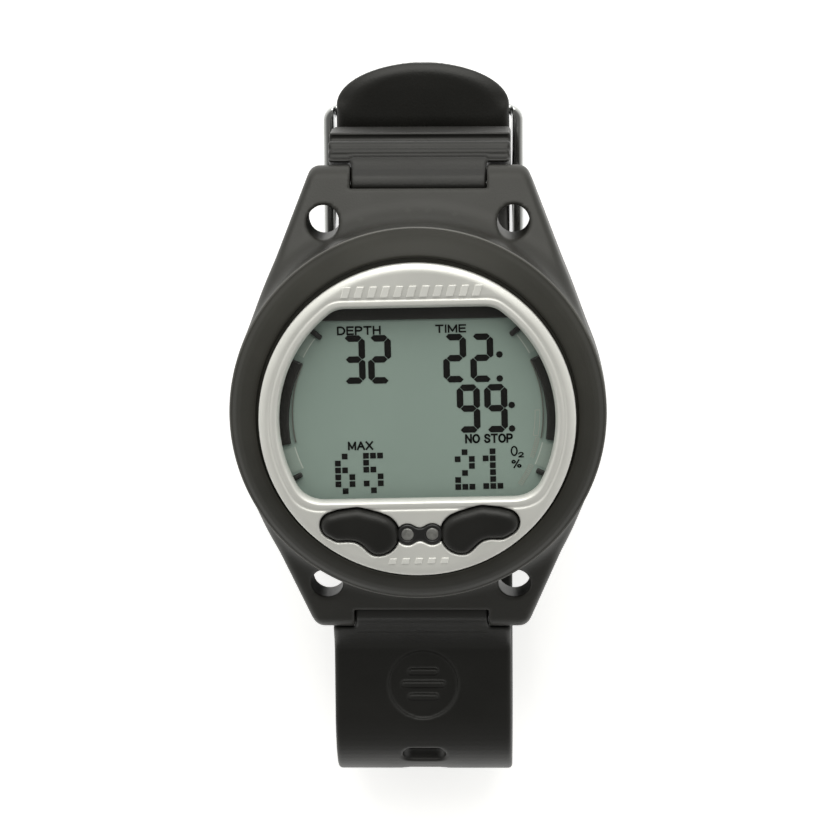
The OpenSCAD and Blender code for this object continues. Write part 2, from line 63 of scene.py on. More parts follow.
PLATE_R, PLATE_Z, PLATE_TOP, PLATE_DROP = 26.75, 19.3, 21.1, 0.35
WINDOW_R, WINDOW_TOP, WINDOW_BOTTOM = 23.7, 19.6, -13.9
FLOOR_Z = 17.6
BEZEL_IN, BEZEL_TOP = 27.18, 20.15
FACE_TURN = math.radians(1.0)
PAD_Z, PAD_TOP = 20.15, 21.98
PAD_TIP, PAD_MID, PAD_PALM = (-14.6, -18.1, 2.15), (-10.7, -18.7, 3.45), (-7.1, -19.85, 3.5)
PAD_WAIST = (-12.0, -24.1, 3.3)
PLUNGER_X, PLUNGER_Y, PLUNGER_R = 8.6, -19.1, 1.4
PIN_X, PIN_Y, PIN_R, PIN_TOP = 2.1, -19.9, 1.1, 20.9
PIN_FOOT, STEM_FOOT, STEM_TOP = 10.85, 12.85, 20.6
HOUSING_R, HOUSING_TOP = 1.8, 20.98
LCD_Z, GLASS_Z, GLASS_R, GLASS_TOP, GLASS_BOTTOM = 16.7, 14.9, 24.6, 18.9, 15.9
DIGIT_W, DIGIT_H, DIGIT_STROKE = 3.92, 8.3, 1.1
DOT_PITCH, DOT_HALF, POINT_R = 1.2, 0.49, 0.58
LENS_Z, LENS_HALF_T = 18.35, 0.75
CAP_OFFSET, CAP_R, PLUG_R = 12.2, 11.0, 9.6
COVER_R, COVER_T = 28.6, 2.4
SCREW_RING_R = 27.2
SCREW_ANGLES = [math.radians(30 + 60 * i) for i in range(6)]

STRAP_W, TAIL_W, STRAP_T, TAIL_T = 31.2, 30.6, 2.6, 2.4
BARREL_R, BARREL_W = 2.6, 23.2
SWING_R = EAR_R + 0.4
FRONT_Z, BEND_Y, BEND_R = -3.3, -57.0, 12.7
BACK_Z = FRONT_Z - 2 * BEND_R
LOW_BAR_Y, MID_BAR_Y, TOP_BAR_Y = 18.5, 33.0, 46.8
MID_BAR_Z, WEAVE_Z = -25.7, -24.5
TIP_Y, TIP_Z, TIP_L = 55.4, -24.1, 7.5
HOLE_W, HOLE_L = 7.6, 3.4
FRAME_LOW_Z, FRAME_BAR_Z, FRAME_TOP_Z = -27.9, -26.3, -25.0
RAIL_IN, RAIL_OUT = 15.7, 17.8
TONGUE_W, TONGUE_T = 5.5, 1.2

# ------------------------------------------------------------------ fields and meshes


def smooth_min(a, b, k):
    """The smaller of two fields, blended over k."""
    h = np.clip(0.5 + 0.5 * (b - a) / k, 0, 1)
    return b + (a - b) * h - k * h * (1 - h)


def smooth_max(a, b, k):
    return -smooth_min(-a, -b, k)


def largest(*fields):
    out = fields[0]
    for f in fields[1:]:
        out = np.maximum(out, f)
    return out


def ramp(v, low, high):
    """0 below low, 1 above high, smooth between."""
    t = np.clip((v - low) / (high - low), 0, 1)
    return t * t * (3 - 2 * t)


def rounded_box(u, v, half_u, half_v, r):
    """Distance to a box with rounded corners in two coordinates."""
    qu, qv = np.abs(u) - half_u + r, np.abs(v) - half_v + r
    return np.hypot(np.maximum(qu, 0), np.maximum(qv, 0)) + np.minimum(np.maximum(qu, qv), 0) - r


class Path:
    """A centre line in the YZ plane, with coordinates along it and across it."""

    def __init__(self, points):
        self.p = np.array(points, float)
        d = np.diff(self.p, axis=0)
        self.length = np.hypot(d[:, 0], d[:, 1])
        self.t = d / self.length[:, None]
        self.s0 = np.concatenate([[0], np.cumsum(self.length)[:-1]])
        self.total = float(self.length.sum())

    def locate(self, y, z):
        """(distance along, signed distance across) of the points y, z."""
        shape = np.broadcast(y, z).shape
        y = np.broadcast_to(y, shape).ravel()
        z = np.broadcast_to(z, shape).ravel()
        best = np.full(y.shape, 1e9)
        along = np.zeros(y.shape)
        across = np.zeros(y.shape)
        for i, (ty, tz) in enumerate(self.t):
            ry, rz = y - self.p[i, 0], z - self.p[i, 1]
            s = np.clip(ry * ty + rz * tz, 0, self.length[i])
            dist = np.hypot(ry - s * ty, rz - s * tz)
            near = dist < best
            best = np.where(near, dist, best)
            along = np.where(near, self.s0[i] + s, along)
            across = np.where(near, np.copysign(dist, ty * rz - tz * ry), across)
        return along.reshape(shape), across.reshape(shape)

    def at(self, y, z):
        """Distance along the path of the point nearest y, z."""
        return float(self.locate(np.array([y]), np.array([z]))[0][0])


CORNERS = [(i, j, k) for i in (0, 1) for j in (0, 1) for k in (0, 1)]
EDGES = [(a, b) for a in range(8) for b in range(a + 1, 8)
         if sum(abs(CORNERS[a][n] - CORNERS[b][n]) for n in range(3)) == 1]


def surface(name, field, low, high, step):
    """A closed smooth mesh of field(x, y, z) = 0, by surface nets on a regular grid."""
    counts = [int(math.ceil((h - l) / step)) + 1 for l, h in zip(low, high)]
    gx, gy, gz = [l + step * np.arange(n) for l, n in zip(low, counts)]
    f = field(gx[:, None, None], gy[None, :, None], gz[None, None, :])
    f = np.ascontiguousarray(np.broadcast_to(f, counts))
    inside = f < 0
    shifted = [inside[i:counts[0] - 1 + i, j:counts[1] - 1 + j, k:counts[2] - 1 + k]
               for i, j, k in CORNERS]
    total = sum(s.astype(np.int8) for s in shifted)
    cells = np.argwhere((total > 0) & (total < 8))
    index = np.full([n - 1 for n in counts], -1, np.int64)
    index[tuple(cells.T)] = np.arange(len(cells))
    values = np.stack([f[tuple((cells + c).T)] for c in CORNERS], 1)
    place = np.zeros((len(cells), 3))
    hits = np.zeros(len(cells))
    for a, b in EDGES:
        va, vb = values[:, a], values[:, b]
        cross = (va < 0) != (vb < 0)
        t = np.where(cross, va / np.where(cross, va - vb, 1), 0)[:, None]
        ca, cb = np.array(CORNERS[a], float), np.array(CORNERS[b], float)
        place += np.where(cross[:, None], ca + (cb - ca) * t, 0)
        hits += cross
    points = (cells + place / hits[:, None]) * step + np.array(low)
    quads = []
    for axis in range(3):
        u, v = (axis + 1) % 3, (axis + 2) % 3
        first = [slice(None)] * 3
        second = [slice(None)] * 3
        first[axis], second[axis] = slice(None, -1), slice(1, None)
        a, b = inside[tuple(first)], inside[tuple(second)]
        edges = np.argwhere(a != b)
        edges = edges[(edges[:, u] > 0) & (edges[:, v] > 0)
                      & (edges[:, u] < counts[u] - 1) & (edges[:, v] < counts[v] - 1)]
        step_u, step_v = np.eye(3, dtype=int)[u], np.eye(3, dtype=int)[v]
        ring = [edges - step_u - step_v, edges - step_v, edges, edges - step_u]
        q = np.stack([index[tuple(r.T)] for r in ring], 1)
        flip = ~a[tuple(edges.T)]
        q[flip] = q[flip][:, ::-1]
        quads.append(q)
    quads = np.concatenate(quads)

    def gradient(p):
        h = 0.02
        x, y, z = p.T
        return np.stack([
            field(x + h, y, z) - field(x - h, y, z),
            field(x, y + h, z) - field(x, y - h, z),
            field(x, y, z + h) - field(x, y, z - h)], 1) / (2 * h)

    for _ in range(2):
        g = gradient(points)
        size = np.maximum((g * g).sum(1), 0.05)
        move = np.clip(field(*points.T) / size, -0.5 * step, 0.5 * step)
        points = points - g * move[:, None]
    return mesh_object(name, points, quads)


def mesh_object(name, points, faces):
    """A mesh object from points in millimetres and faces of equal size."""
    mesh = bpy.data.meshes.new(name)
    points = np.asarray(points, float) * MM
    faces = np.asarray(faces, np.int32)
    mesh.vertices.add(len(points))
    mesh.vertices.foreach_set("co", points.ravel())
    mesh.loops.add(faces.size)
    mesh.loops.foreach_set("vertex_index", faces.ravel())
    mesh.polygons.add(len(faces))
    mesh.polygons.foreach_set("loop_start", np.arange(0, faces.size, faces.shape[1], dtype=np.int32))
    mesh.update(calc_edges=True)
    mesh.polygons.foreach_set("use_smooth", np.full(len(faces), True))
    mesh.validate()
    obj = bpy.data.objects.new(name, mesh)
    bpy.context.scene.collection.objects.link(obj)
    return obj


def revolve(name, profile, segments=256, centre=(0, 0)):
    """A ring or a plug: a closed profile of (radius, height) turned about an upright axis."""
    profile = np.array(profile, float)
    angles = np.arange(segments) * 2 * math.pi / segments
    points = np.stack([
        centre[0] + np.outer(np.cos(angles), profile[:, 0]),
        centre[1] + np.outer(np.sin(angles), profile[:, 0]),
        np.outer(np.ones(segments), profile[:, 1])], 2).reshape(-1, 3)
    n = len(profile)
    i, j = np.meshgrid(np.arange(segments), np.arange(n), indexing="ij")
    i2, j2 = (i + 1) % segments, (j + 1) % n
    quads = np.stack([i * n + j, i2 * n + j, i2 * n + j2, i * n + j2], 2).reshape(-1, 4)
    return mesh_object(name, points, quads)


def rounded(profile, radius=0.12, steps=3):
    """A closed profile with each corner cut to a small arc."""
    pts = [Vector(p) for p in profile]
    out = []
    for i, p in enumerate(pts):
        a, b = pts[i - 1] - p, pts[(i + 1) % len(pts)] - p
        r = min(radius, 0.45 * a.length, 0.45 * b.length)
        start, end = p + a.normalized() * r, p + b.normalized() * r
        for n in range(steps + 1):
            t = n / steps
            q = start * (1 - t) ** 2 + p * 2 * t * (1 - t) + end * t ** 2
            out.append((q.x, q.y))
    return out


def flat_solid(bm, outline, z_low, z_high):
    """Adds a flat closed solid with the outline, in millimetres."""
    low = [bm.verts.new((x * MM, y * MM, z_low * MM)) for x, y in outline]
    high = [bm.verts.new((x * MM, y * MM, z_high * MM)) for x, y in outline]
    bm.faces.new(low[::-1])
    bm.faces.new(high)
    for i in range(len(outline)):
        j = (i + 1) % len(outline)
        bm.faces.new((low[i], low[j], high[j], high[i]))


def from_bmesh(name, bm):
    mesh = bpy.data.meshes.new(name)
    bmesh.ops.recalc_face_normals(bm, faces=bm.faces)
    bm.to_mesh(mesh)
    bm.free()
    obj = bpy.data.objects.new(name, mesh)
    bpy.context.scene.collection.objects.link(obj)
    return obj


def join(name, objects):
    """One object from several, with the materials of all."""
    for o in bpy.context.selected_objects:
        o.select_set(False)
    for o in objects:
        o.select_set(True)
    bpy.context.view_layer.objects.active = objects[0]
    bpy.ops.object.join()
    objects[0].name = name
    objects[0].data.name = name
    return objects[0]


def place(obj, body, look, slot, replaces=()):
    """Gives a piece its material, its body and the CAD nodes that it stands for."""
    obj.data.materials.clear()
    obj.data.materials.append(look)
    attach(obj, body)
    if replaces:
        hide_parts(*replaces)


# ------------------------------------------------------------------ materials


def material(name, color, rough, metal=0.0, glow=0.0, grain=0.0, grain_scale=3000.0, vary=0.12,
             vary_scale=120.0, rough_vary=0.08, specular=0.5, alpha=1.0, wear=0.0):
    """A procedural material: mottled colour, uneven roughness, fine grain and lighter worn edges."""
    mat = bpy.data.materials.new(name)
    mat.use_nodes = True
    nodes, links = mat.node_tree.nodes, mat.node_tree.links
    shader = nodes["Principled BSDF"]
    shader.inputs["Metallic"].default_value = metal
    shader.inputs["Specular IOR Level"].default_value = specular
    shader.inputs["Alpha"].default_value = alpha
    if glow:
        shader.inputs["Emission Color"].default_value = (1, 1, 1, 1)
        shader.inputs["Emission Strength"].default_value = glow
    where = nodes.new("ShaderNodeTexCoord")
    cloud = nodes.new("ShaderNodeTexNoise")
    cloud.inputs["Scale"].default_value = vary_scale
    cloud.inputs["Detail"].default_value = 5
    links.new(where.outputs["Object"], cloud.inputs["Vector"])
    shades = nodes.new("ShaderNodeValToRGB")
    shades.color_ramp.elements[0].position = 0.3
    shades.color_ramp.elements[1].position = 0.7
    shades.color_ramp.elements[0].color = [c * (1 - vary) for c in color] + [1]
    shades.color_ramp.elements[1].color = [min(1, c * (1 + vary)) for c in color] + [1]
    links.new(cloud.outputs["Fac"], shades.inputs["Fac"])
    tint = shades.outputs["Color"]
    if wear:
        geometry = nodes.new("ShaderNodeNewGeometry")
        edge = nodes.new("ShaderNodeMapRange")
        edge.inputs["From Min"].default_value = 0.52
        edge.inputs["From Max"].default_value = 0.62
        links.new(geometry.outputs["Pointiness"], edge.inputs["Value"])
        rub = nodes.new("ShaderNodeMath")
        rub.operation = "MULTIPLY"
        rub.inputs[1].default_value = wear
        links.new(edge.outputs["Result"], rub.inputs[0])
        mix = nodes.new("ShaderNodeMixRGB")
        mix.inputs["Color2"].default_value = [min(1, c * 2.2 + 0.02) for c in color] + [1]
        links.new(rub.outputs["Value"], mix.inputs["Fac"])
        links.new(tint, mix.inputs["Color1"])
        tint = mix.outputs["Color"]
    links.new(tint, shader.inputs["Base Color"])
    gloss = nodes.new("ShaderNodeMapRange")
    gloss.inputs["To Min"].default_value = max(0.02, rough - rough_vary)
    gloss.inputs["To Max"].default_value = min(1, rough + rough_vary)
    links.new(cloud.outputs["Fac"], gloss.inputs["Value"])
    links.new(gloss.outputs["Result"], shader.inputs["Roughness"])
    if grain:
        fine = nodes.new("ShaderNodeTexNoise")
        fine.inputs["Scale"].default_value = grain_scale
        fine.inputs["Detail"].default_value = 3
        links.new(where.outputs["Object"], fine.inputs["Vector"])
        bump = nodes.new("ShaderNodeBump")
        bump.inputs["Strength"].default_value = grain
        bump.inputs["Distance"].default_value = 0.00008
        links.new(fine.outputs["Fac"], bump.inputs["Height"])
        links.new(bump.outputs["Normal"], shader.inputs["Normal"])
    return mat


CASE_BLACK = material("case_plastic", (0.0175, 0.0170, 0.0140), 0.45, grain=0.3, grain_scale=2600,
                      wear=0.15, specular=0.42)
BEZEL_BLACK = material("bezel_plastic", (0.027, 0.0263, 0.022), 0.42, grain=0.22, grain_scale=3200,
                       specular=0.2)
# a lighter grey that paints the highlight along the bezel's outer edge
RIM_HIGHLIGHT = material("bezel_rim_highlight", (0.11, 0.108, 0.1), 0.35, grain=0.1)
SILVER = material("face_silver", (0.78, 0.78, 0.75), 0.43, metal=0.5, grain=0.16,
                  grain_scale=6000, vary=0.03, rough_vary=0.04)
MARK_PALE = material("face_marks", (0.8, 0.8, 0.77), 0.45, metal=0.3, grain=0.16,
                     grain_scale=6000, vary=0.03)
PAD_BLACK = material("pad_rubber", (0.008, 0.0078, 0.0068), 0.42, grain=0.2, grain_scale=3600,
                     specular=0.4)
HOUSING_BLACK = material("contact_plastic", (0.012, 0.012, 0.012), 0.35, grain=0.1)
CONTACT = material("contact_steel", (0.27, 0.27, 0.26), 0.42, metal=0.7, grain=0.6,
                   grain_scale=5000, vary=0.2, vary_scale=1800)
LCD_GREY = material("lcd_grey", (0.285, 0.365, 0.325), 0.42, vary=0.035, vary_scale=45,
                    grain=0.05, specular=0.4)
LCD_LIGHT = material("lcd_reflector", (0.33, 0.405, 0.36), 0.45, vary=0.05, grain=0.05)
LCD_EDGE = material("lcd_reflector_edge", (0.55, 0.6, 0.55), 0.35, vary=0.05, grain=0.05)
LCD_FAINT = material("lcd_faint", (0.42, 0.43, 0.38), 0.45, vary=0.04, grain=0.05)
INK = material("lcd_ink", (0.006, 0.006, 0.0055), 0.5, vary=0.05, grain=0.05, specular=0.2)
MASK_SIDE = material("lcd_mask_side", (0.13, 0.135, 0.12), 0.4, grain=0.1)
# the dark mask colour, which also paints the shade where the window's upper wall casts its shadow on the
# display
MASK_AND_WALL_SHADOW = material("lcd_mask", (0.022, 0.022, 0.02), 0.4, grain=0.1)
LENS_CLEAR = material("lens_clear", (0.02, 0.022, 0.021), 0.04, vary=0.0, rough_vary=0.01, alpha=0.03,
                      specular=0.35)
STRAP_BLACK = material("strap_rubber", (0.0068, 0.0066, 0.0055), 0.44, grain=0.3, grain_scale=2400,
                       wear=0.15, specular=0.42)
CHROME = material("chrome", (0.62, 0.63, 0.63), 0.1, metal=1.0, vary=0.03, rough_vary=0.05,
                  grain=0.03, vary_scale=300)
STEEL = material("steel", (0.55, 0.55, 0.55), 0.3, metal=1.0, grain=0.1, grain_scale=4000)
GOLD = material("gold_plate", (0.75, 0.55, 0.2), 0.25, metal=1.0, grain=0.05)
BOARD = material("board_green", (0.03, 0.16, 0.07), 0.4, grain=0.4, grain_scale=900, vary=0.3,
                 vary_scale=700)
CHIP = material("chip_black", (0.02, 0.02, 0.022), 0.45, grain=0.2)
WHITE = material("white_plastic", (0.75, 0.76, 0.73), 0.45, grain=0.1, vary=0.03)
ZEBRA = material("zebra_rubber", (0.5, 0.18, 0.24), 0.6, grain=0.2, vary=0.3, vary_scale=2500)
INNER = material("inner_plastic", (0.05, 0.05, 0.055), 0.5, grain=0.25)
SEAL_RED = material("seal_red", (0.3, 0.05, 0.04), 0.5, grain=0.2)
RUBBER = material("black_rubber", (0.012, 0.012, 0.012), 0.55, grain=0.2)

# ------------------------------------------------------------------ case


def case_field(x, y, z):
    """The drum with its four lugs, their strap slots and cord holes, and the stepped bore."""
    ax, ay, r = np.abs(x), np.abs(y), np.hypot(x, y)
    wall = np.interp(z, [0, 1, 5, 12, RIM_Z], [30.2, 31.2, 31.6, DRUM_R, DRUM_R])
    drum = smooth_max(r - wall, np.abs(z - RIM_Z / 2) - RIM_Z / 2, 0.7)
    dy, dz = ay - PIVOT_Y, z - PIVOT_Z
    top = dy * math.sin(LUG_ANGLE) + dz * math.cos(LUG_ANGLE) - EAR_R
    under = -dy * math.sin(UNDER_ANGLE) - dz * math.cos(UNDER_ANGLE) - EAR_R
    # the sloped faces end where this plane leaves the round ear
    behind = 0.945 * dy - 0.327 * dz - 0.354
    side = np.minimum(np.hypot(dy, dz) - EAR_R, largest(top, under, behind))
    flank = (ax + SIDE_SLOPE * ay - SIDE_X0) / math.hypot(1, SIDE_SLOPE)
    flank = np.where(ay < SIDE_SLOPE * ax, r - CASE_R + LUG_INSET, flank)
    lug = smooth_max(smooth_max(side, flank, 1.5), z - RIM_Z + 0.5, 1.0)
    body = smooth_min(drum, lug, 0.4 + 3.4 * ramp(ay, 13, 25))
    body = smooth_max(body, z - RIM_Z, 0.4)
    cord = CORD_R - np.hypot(ax - CORD_X, ay - CORD_Y)
    body = smooth_max(body, cord, 0.55)
    gap = largest(ax - SLOT_HALF, np.minimum(
        np.hypot(dy, dz) - BARREL_R - 0.4,
        np.minimum(PIVOT_Y - 0.2 - ay, largest(PIVOT_Y - 2.8 - ay, z - PIVOT_Z))))
    body = smooth_max(body, -gap, 0.35)
    bore = np.minimum(
        np.minimum(largest(r - LOWER_BORE_R, z - LOWER_BORE_TOP), largest(r - COVER_R - 0.2, z - COVER_T)),
        np.minimum(largest(r - CHASSIS_BORE_R, CHASSIS_BORE_Z - z),
                   largest(r - UPPER_BORE_R, UPPER_BORE_Z - z)))
    return np.maximum(body, -bore)


case = surface("case_shell", case_field, (-33, -41.5, -2.6), (33, 41.5, 17.4), 0.42)
place(case, "case", CASE_BLACK, "case_plastic", ["case_body"])

bezel_profile = rounded([
    (25.6, 15.4), (26.8, 15.4), (26.8, 16.5), (31.3, 16.5), (31.6, 16.62), (31.72, 16.95),
    (31.4, 17.2), (30.75, 18.0), (29.9, 18.75), (28.9, 19.45), (28.1, 19.95), (27.6, BEZEL_TOP),
    (27.3, BEZEL_TOP - 0.1), (BEZEL_IN, 19.25), (25.2, 19.25), (25.2, FLOOR_Z), (25.6, FLOOR_Z)], 0.3, 4)
bezel = revolve("bezel_front", bezel_profile)


def turn_face(obj):
    """Turns a finished face piece by the small angle at which the face sits in the case."""
    obj.data.transform(Matrix.Rotation(FACE_TURN, 4, "Z"))
    return obj


def window_distance(x, y):
    """Distance outside the window outline, negative inside it; the lower corners are rounder."""
    corner = 0.9 + 1.8 * ramp(-y, -5, 5)
    band = np.maximum(y - WINDOW_TOP, WINDOW_BOTTOM - y)
    return smooth_max(np.hypot(x, y) - WINDOW_R, band, corner)


def bezel_floor_field(x, y, z):
    """The floor that carries the face, open for the window and the pads' plungers."""
    ring = np.hypot(x, y) - 26.6
    hole = 1.3 - window_distance(x, y)
    pads = PLUNGER_R + 0.3 - np.hypot(np.abs(x) - PLUNGER_X, y - PLUNGER_Y)
    slab = np.abs(z - 18.42) - 0.82
    return largest(ring, hole, pads, slab)


bezel_floor = surface("bezel_floor", bezel_floor_field, (-27.4, -27.4, 17), (27.4, 27.4, 19.8), 0.35)
bezel = join("bezel_front", [bezel, bezel_floor])
place(bezel, "case", BEZEL_BLACK, "bezel_plastic", ["bezel_ring"])

# painted highlight: a thin lighter ring where the edge between bezel and case catches light
rim = revolve("bezel_rim_line", rounded([
    (31.5, 16.42), (31.93, 16.44), (31.97, 16.62), (31.8, 16.74), (31.5, 16.7)], 0.06, 2))
place(rim, "case", RIM_HIGHLIGHT, "bezel_plastic")

# ------------------------------------------------------------------ face


def hull_lines(circles, n=48):
    """Outward lines (nx, ny, offset) that bound the hull of circles (x, y, r)."""
    angles = [2 * math.pi * i / n for i in range(n)]
    return [(math.cos(a), math.sin(a), max(math.cos(a) * c[0] + math.sin(a) * c[1] + c[2] for c in circles))
            for a in angles]


PAD_LINES = hull_lines([PAD_TIP, PAD_MID, PAD_PALM])


def pad_distance(x, y):
    """Distance outside the left pad's kidney outline."""
    body = largest(*[nx * x + ny * y - d for nx, ny, d in PAD_LINES])
    waist = PAD_WAIST[2] - np.hypot(x - PAD_WAIST[0], y - PAD_WAIST[1])
    return smooth_max(body, waist, 1.3)


def eight_distance(x, y):
    """Distance outside the figure-eight outline round the contact pins."""
    rings = np.hypot(np.abs(x) - PIN_X, y - PIN_Y) - HOUSING_R
    return smooth_min(rings, rounded_box(x, y - PIN_Y, PIN_X, 1.1, 0.3), 0.5)


def plate_field(x, y, z):
    """The plate with its rolled outer edge, the groove round the window and the sunk lip."""
    r = np.hypot(x, y + PLATE_DROP)
    window = window_distance(x, y + PLATE_DROP)
    roll = 0.6 * (1 - np.clip((PLATE_R - r) / 1.6, 0, 1)) ** 2.2
    groove = 0.16 * np.exp(-((window - 1.2) / 0.24) ** 2)
    lip = 0.9 * np.clip((0.3 - window) / 0.75, 0, 1) ** 1.6
    crown = PLATE_TOP - 0.05 - roll - groove - lip
    opening = -(window + 0.42)
    pads = 0.22 - pad_distance(-np.abs(x), y)
    eight = 0.08 - eight_distance(x, y)
    top = smooth_max(z - crown, np.maximum(pads, eight), 0.35)
    body = largest(r - PLATE_R, PLATE_Z - z, opening)
    return smooth_max(top, body, 0.18)


plate = surface("face_plate_satin", plate_field, (-27.3, -27.3, 19.0), (27.3, 27.3, 21.5), 0.2)
turn_face(plate)
place(plate, "case", SILVER, "face_silver", ["face_plate"])


def raised_marks(name, marks, top):
    """Low bevelled marks on the plate: (x, y, width, height, slant) each."""
    bm = bmesh.new()
    for x, y, w, h, slant in marks:
        flat_solid(bm, [(x - w / 2 - slant, y - h / 2), (x + w / 2 - slant, y - h / 2),
                        (x + w / 2 + slant, y + h / 2), (x - w / 2 + slant, y + h / 2)], top - 0.25, top)
    obj = from_bmesh(name, bm)
    soft = obj.modifiers.new("edge", "BEVEL")
    soft.width = 0.12 * MM
    soft.segments = 3
    return obj


marks = [(-11.4 + 2.2 * i, 21.75, 1.25, 1.9, 0.3) for i in range(11)]
upper_marks = raised_marks("face_motif_upper", marks, PLATE_TOP + 0.2)
marks = [(-4.7 + 2.2 * i, -24.45, 1.25, 1.0, 0.15) for i in range(5)]
lower_marks = raised_marks("face_motif_lower", marks, PLATE_TOP + 0.12)
for motif in (upper_marks, lower_marks):
    place(turn_face(motif), "case", MARK_PALE, "face_silver")


def pad_field(x, y, z):
    """Both pads, with well rounded tops."""
    return smooth_max(largest(pad_distance(-np.abs(x), y), PAD_Z - z), z - PAD_TOP, 1.7)


for side, sign in (("left", -1), ("right", 1)):
    low, high = sorted((sign * 2.9, sign * 17.1))
    pad = turn_face(surface("push_pad_" + side, pad_field, (low, -23.9, 19.6), (high, -14.6, 22.4), 0.2))
    stem = revolve("pad_stem", rounded([
        (AXIS, STEM_FOOT), (PLUNGER_R, STEM_FOOT), (PLUNGER_R, STEM_TOP), (AXIS, STEM_TOP)], 0.2),
        48, (sign * PLUNGER_X, PLUNGER_Y))
    place(join("push_pad_" + side, [pad, stem]), side + "_pad", PAD_BLACK, "pad_rubber", [side + "_button"])


def housing_field(x, y, z):
    d = eight_distance(x, y)
    pins = PIN_R + 0.02 - np.hypot(np.abs(x) - PIN_X, y - PIN_Y)
    return smooth_max(smooth_max(np.maximum(d, PLATE_Z + 0.02 - z), z - HOUSING_TOP, 0.4), pins, 0.25)


housing = surface("contact_housing_insert", housing_field, (-4.3, -22.3, 19), (4.3, -17.5, 21.3), 0.14)
place(housing, "case", HOUSING_BLACK, "chip_black", ["contact_housing"])

pins = [revolve("contact_pin", rounded([
    (AXIS, PIN_FOOT), (PIN_R, PIN_FOOT), (PIN_R, 19.2), (PIN_R, PIN_TOP - 0.12), (PIN_R - 0.14, PIN_TOP),
    (PIN_R - 0.45, PIN_TOP + 0.02), (AXIS, PIN_TOP + 0.04)], 0.05, 2), 48, (sign * PIN_X, PIN_Y))
    for sign in (-1, 1)]
turn_face(housing)
place(turn_face(join("contact_pin_pair", pins)), "case", CONTACT, "contact_steel", ["contact_pins"])

# ------------------------------------------------------------------ display

SEGMENTS = {"3": "abcdg", "2": "abdeg", "9": "abcdfg"}
DOTS = {
    "6": (".X.", "X..", "XX.", "X.X", "X.X", ".X."),
    "5": ("XXX", "X..", "XX.", "..X", "X.X", ".X."),
    "2": (".X.", "X.X", "..X", ".X.", "X..", "XXX"),
    "1": (".X.", "XX.", ".X.", ".X.", ".X.", "XXX"),
}


def segment_outlines(w, h, t):
    """Outlines of the seven segments a to g of a digit w by h with strokes t, centred at 0."""
    x, y, cut, gap = w / 2, h / 2, 0.85 * t, 0.07
    mid = cut / 2
    flat = [(-x + t + gap, y - t), (-x + mid + gap, y - mid), (-x + cut + 0.5 * gap, y),
            (x - cut - 0.5 * gap, y), (x - mid - gap, y - mid), (x - t - gap, y - t)]
    half = 0.5 * t
    bar = [(-x + half + gap, 0), (-x + t + gap, half), (x - t - gap, half), (x - half - gap, 0),
           (x - t - gap, -half), (-x + t + gap, -half)]
    side = [(x - t, y - t - gap), (x - mid, y - mid - gap), (x, y - cut - 0.5 * gap), (x, 0.35 * t),
            (x - 0.35 * t, gap), (x - half, gap), (x - t, half + gap)]

    def flip(points, sx, sy):
        return [(sx * px, sy * py) for px, py in points][::sx * sy]

    return {"a": flat, "g": bar, "b": side, "f": flip(side, -1, 1), "c": flip(side, 1, -1),
            "e": flip(side, -1, -1), "d": flip(flat, 1, -1)}


def circle_outline(cx, cy, r, n=24):
    return [(cx + r * math.cos(2 * math.pi * i / n), cy + r * math.sin(2 * math.pi * i / n))
            for i in range(n)]


def arc_outline(r0, r1, a0, a1, n=24):
    """A band between two radii and two angles in degrees."""
    outer = [(r1 * math.cos(math.radians(a0 + (a1 - a0) * i / n)),
              r1 * math.sin(math.radians(a0 + (a1 - a0) * i / n))) for i in range(n + 1)]
    inner = [(r0 * math.cos(math.radians(a1 + (a0 - a1) * i / n)),
              r0 * math.sin(math.radians(a1 + (a0 - a1) * i / n))) for i in range(n + 1)]
    return outer + inner


INK_LOW, INK_HIGH = LCD_Z + 0.02, LCD_Z + 0.06
LARGE_DIGITS = (("3", -10.58, 9.6), ("2", -6.2, 9.56), ("2", 6.48, 9.52), ("2", 11.05, 9.5),
                ("9", 8.62, 0.82), ("9", 13.26, 0.8))
POINTS = ((14.03, 10.02), (14.0, 5.9), (15.92, 1.3), (15.9, -2.75))
DOT_DIGITS = (("6", -12.58, -10.06), ("5", -7.77, -10.0), ("2", 7.77, -9.69), ("1", 12.52, -9.62))

ink = bmesh.new()
outlines = segment_outlines(DIGIT_W, DIGIT_H, DIGIT_STROKE)
for digit, cx, cy in LARGE_DIGITS:
    for key in SEGMENTS[digit]:
        flat_solid(ink, [(cx + x, cy + y) for x, y in outlines[key]], INK_LOW, INK_HIGH)
for cx, cy in POINTS:
    flat_solid(ink, circle_outline(cx, cy, POINT_R, 8), INK_LOW, INK_HIGH)
for digit, cx, cy in DOT_DIGITS:
    for row, line in enumerate(DOTS[digit]):
        for column, mark in enumerate(line):
            if mark == "X":
                left, right = [cx + (column - 1) * DOT_PITCH + side for side in (-DOT_HALF, DOT_HALF)]
                low, high = [cy + (2.5 - row) * DOT_PITCH + side for side in (-DOT_HALF, DOT_HALF)]
                flat_solid(ink, [(left, low), (right, low), (right, high), (left, high)], INK_LOW, INK_HIGH)
characters = [from_bmesh("display_characters", ink)]


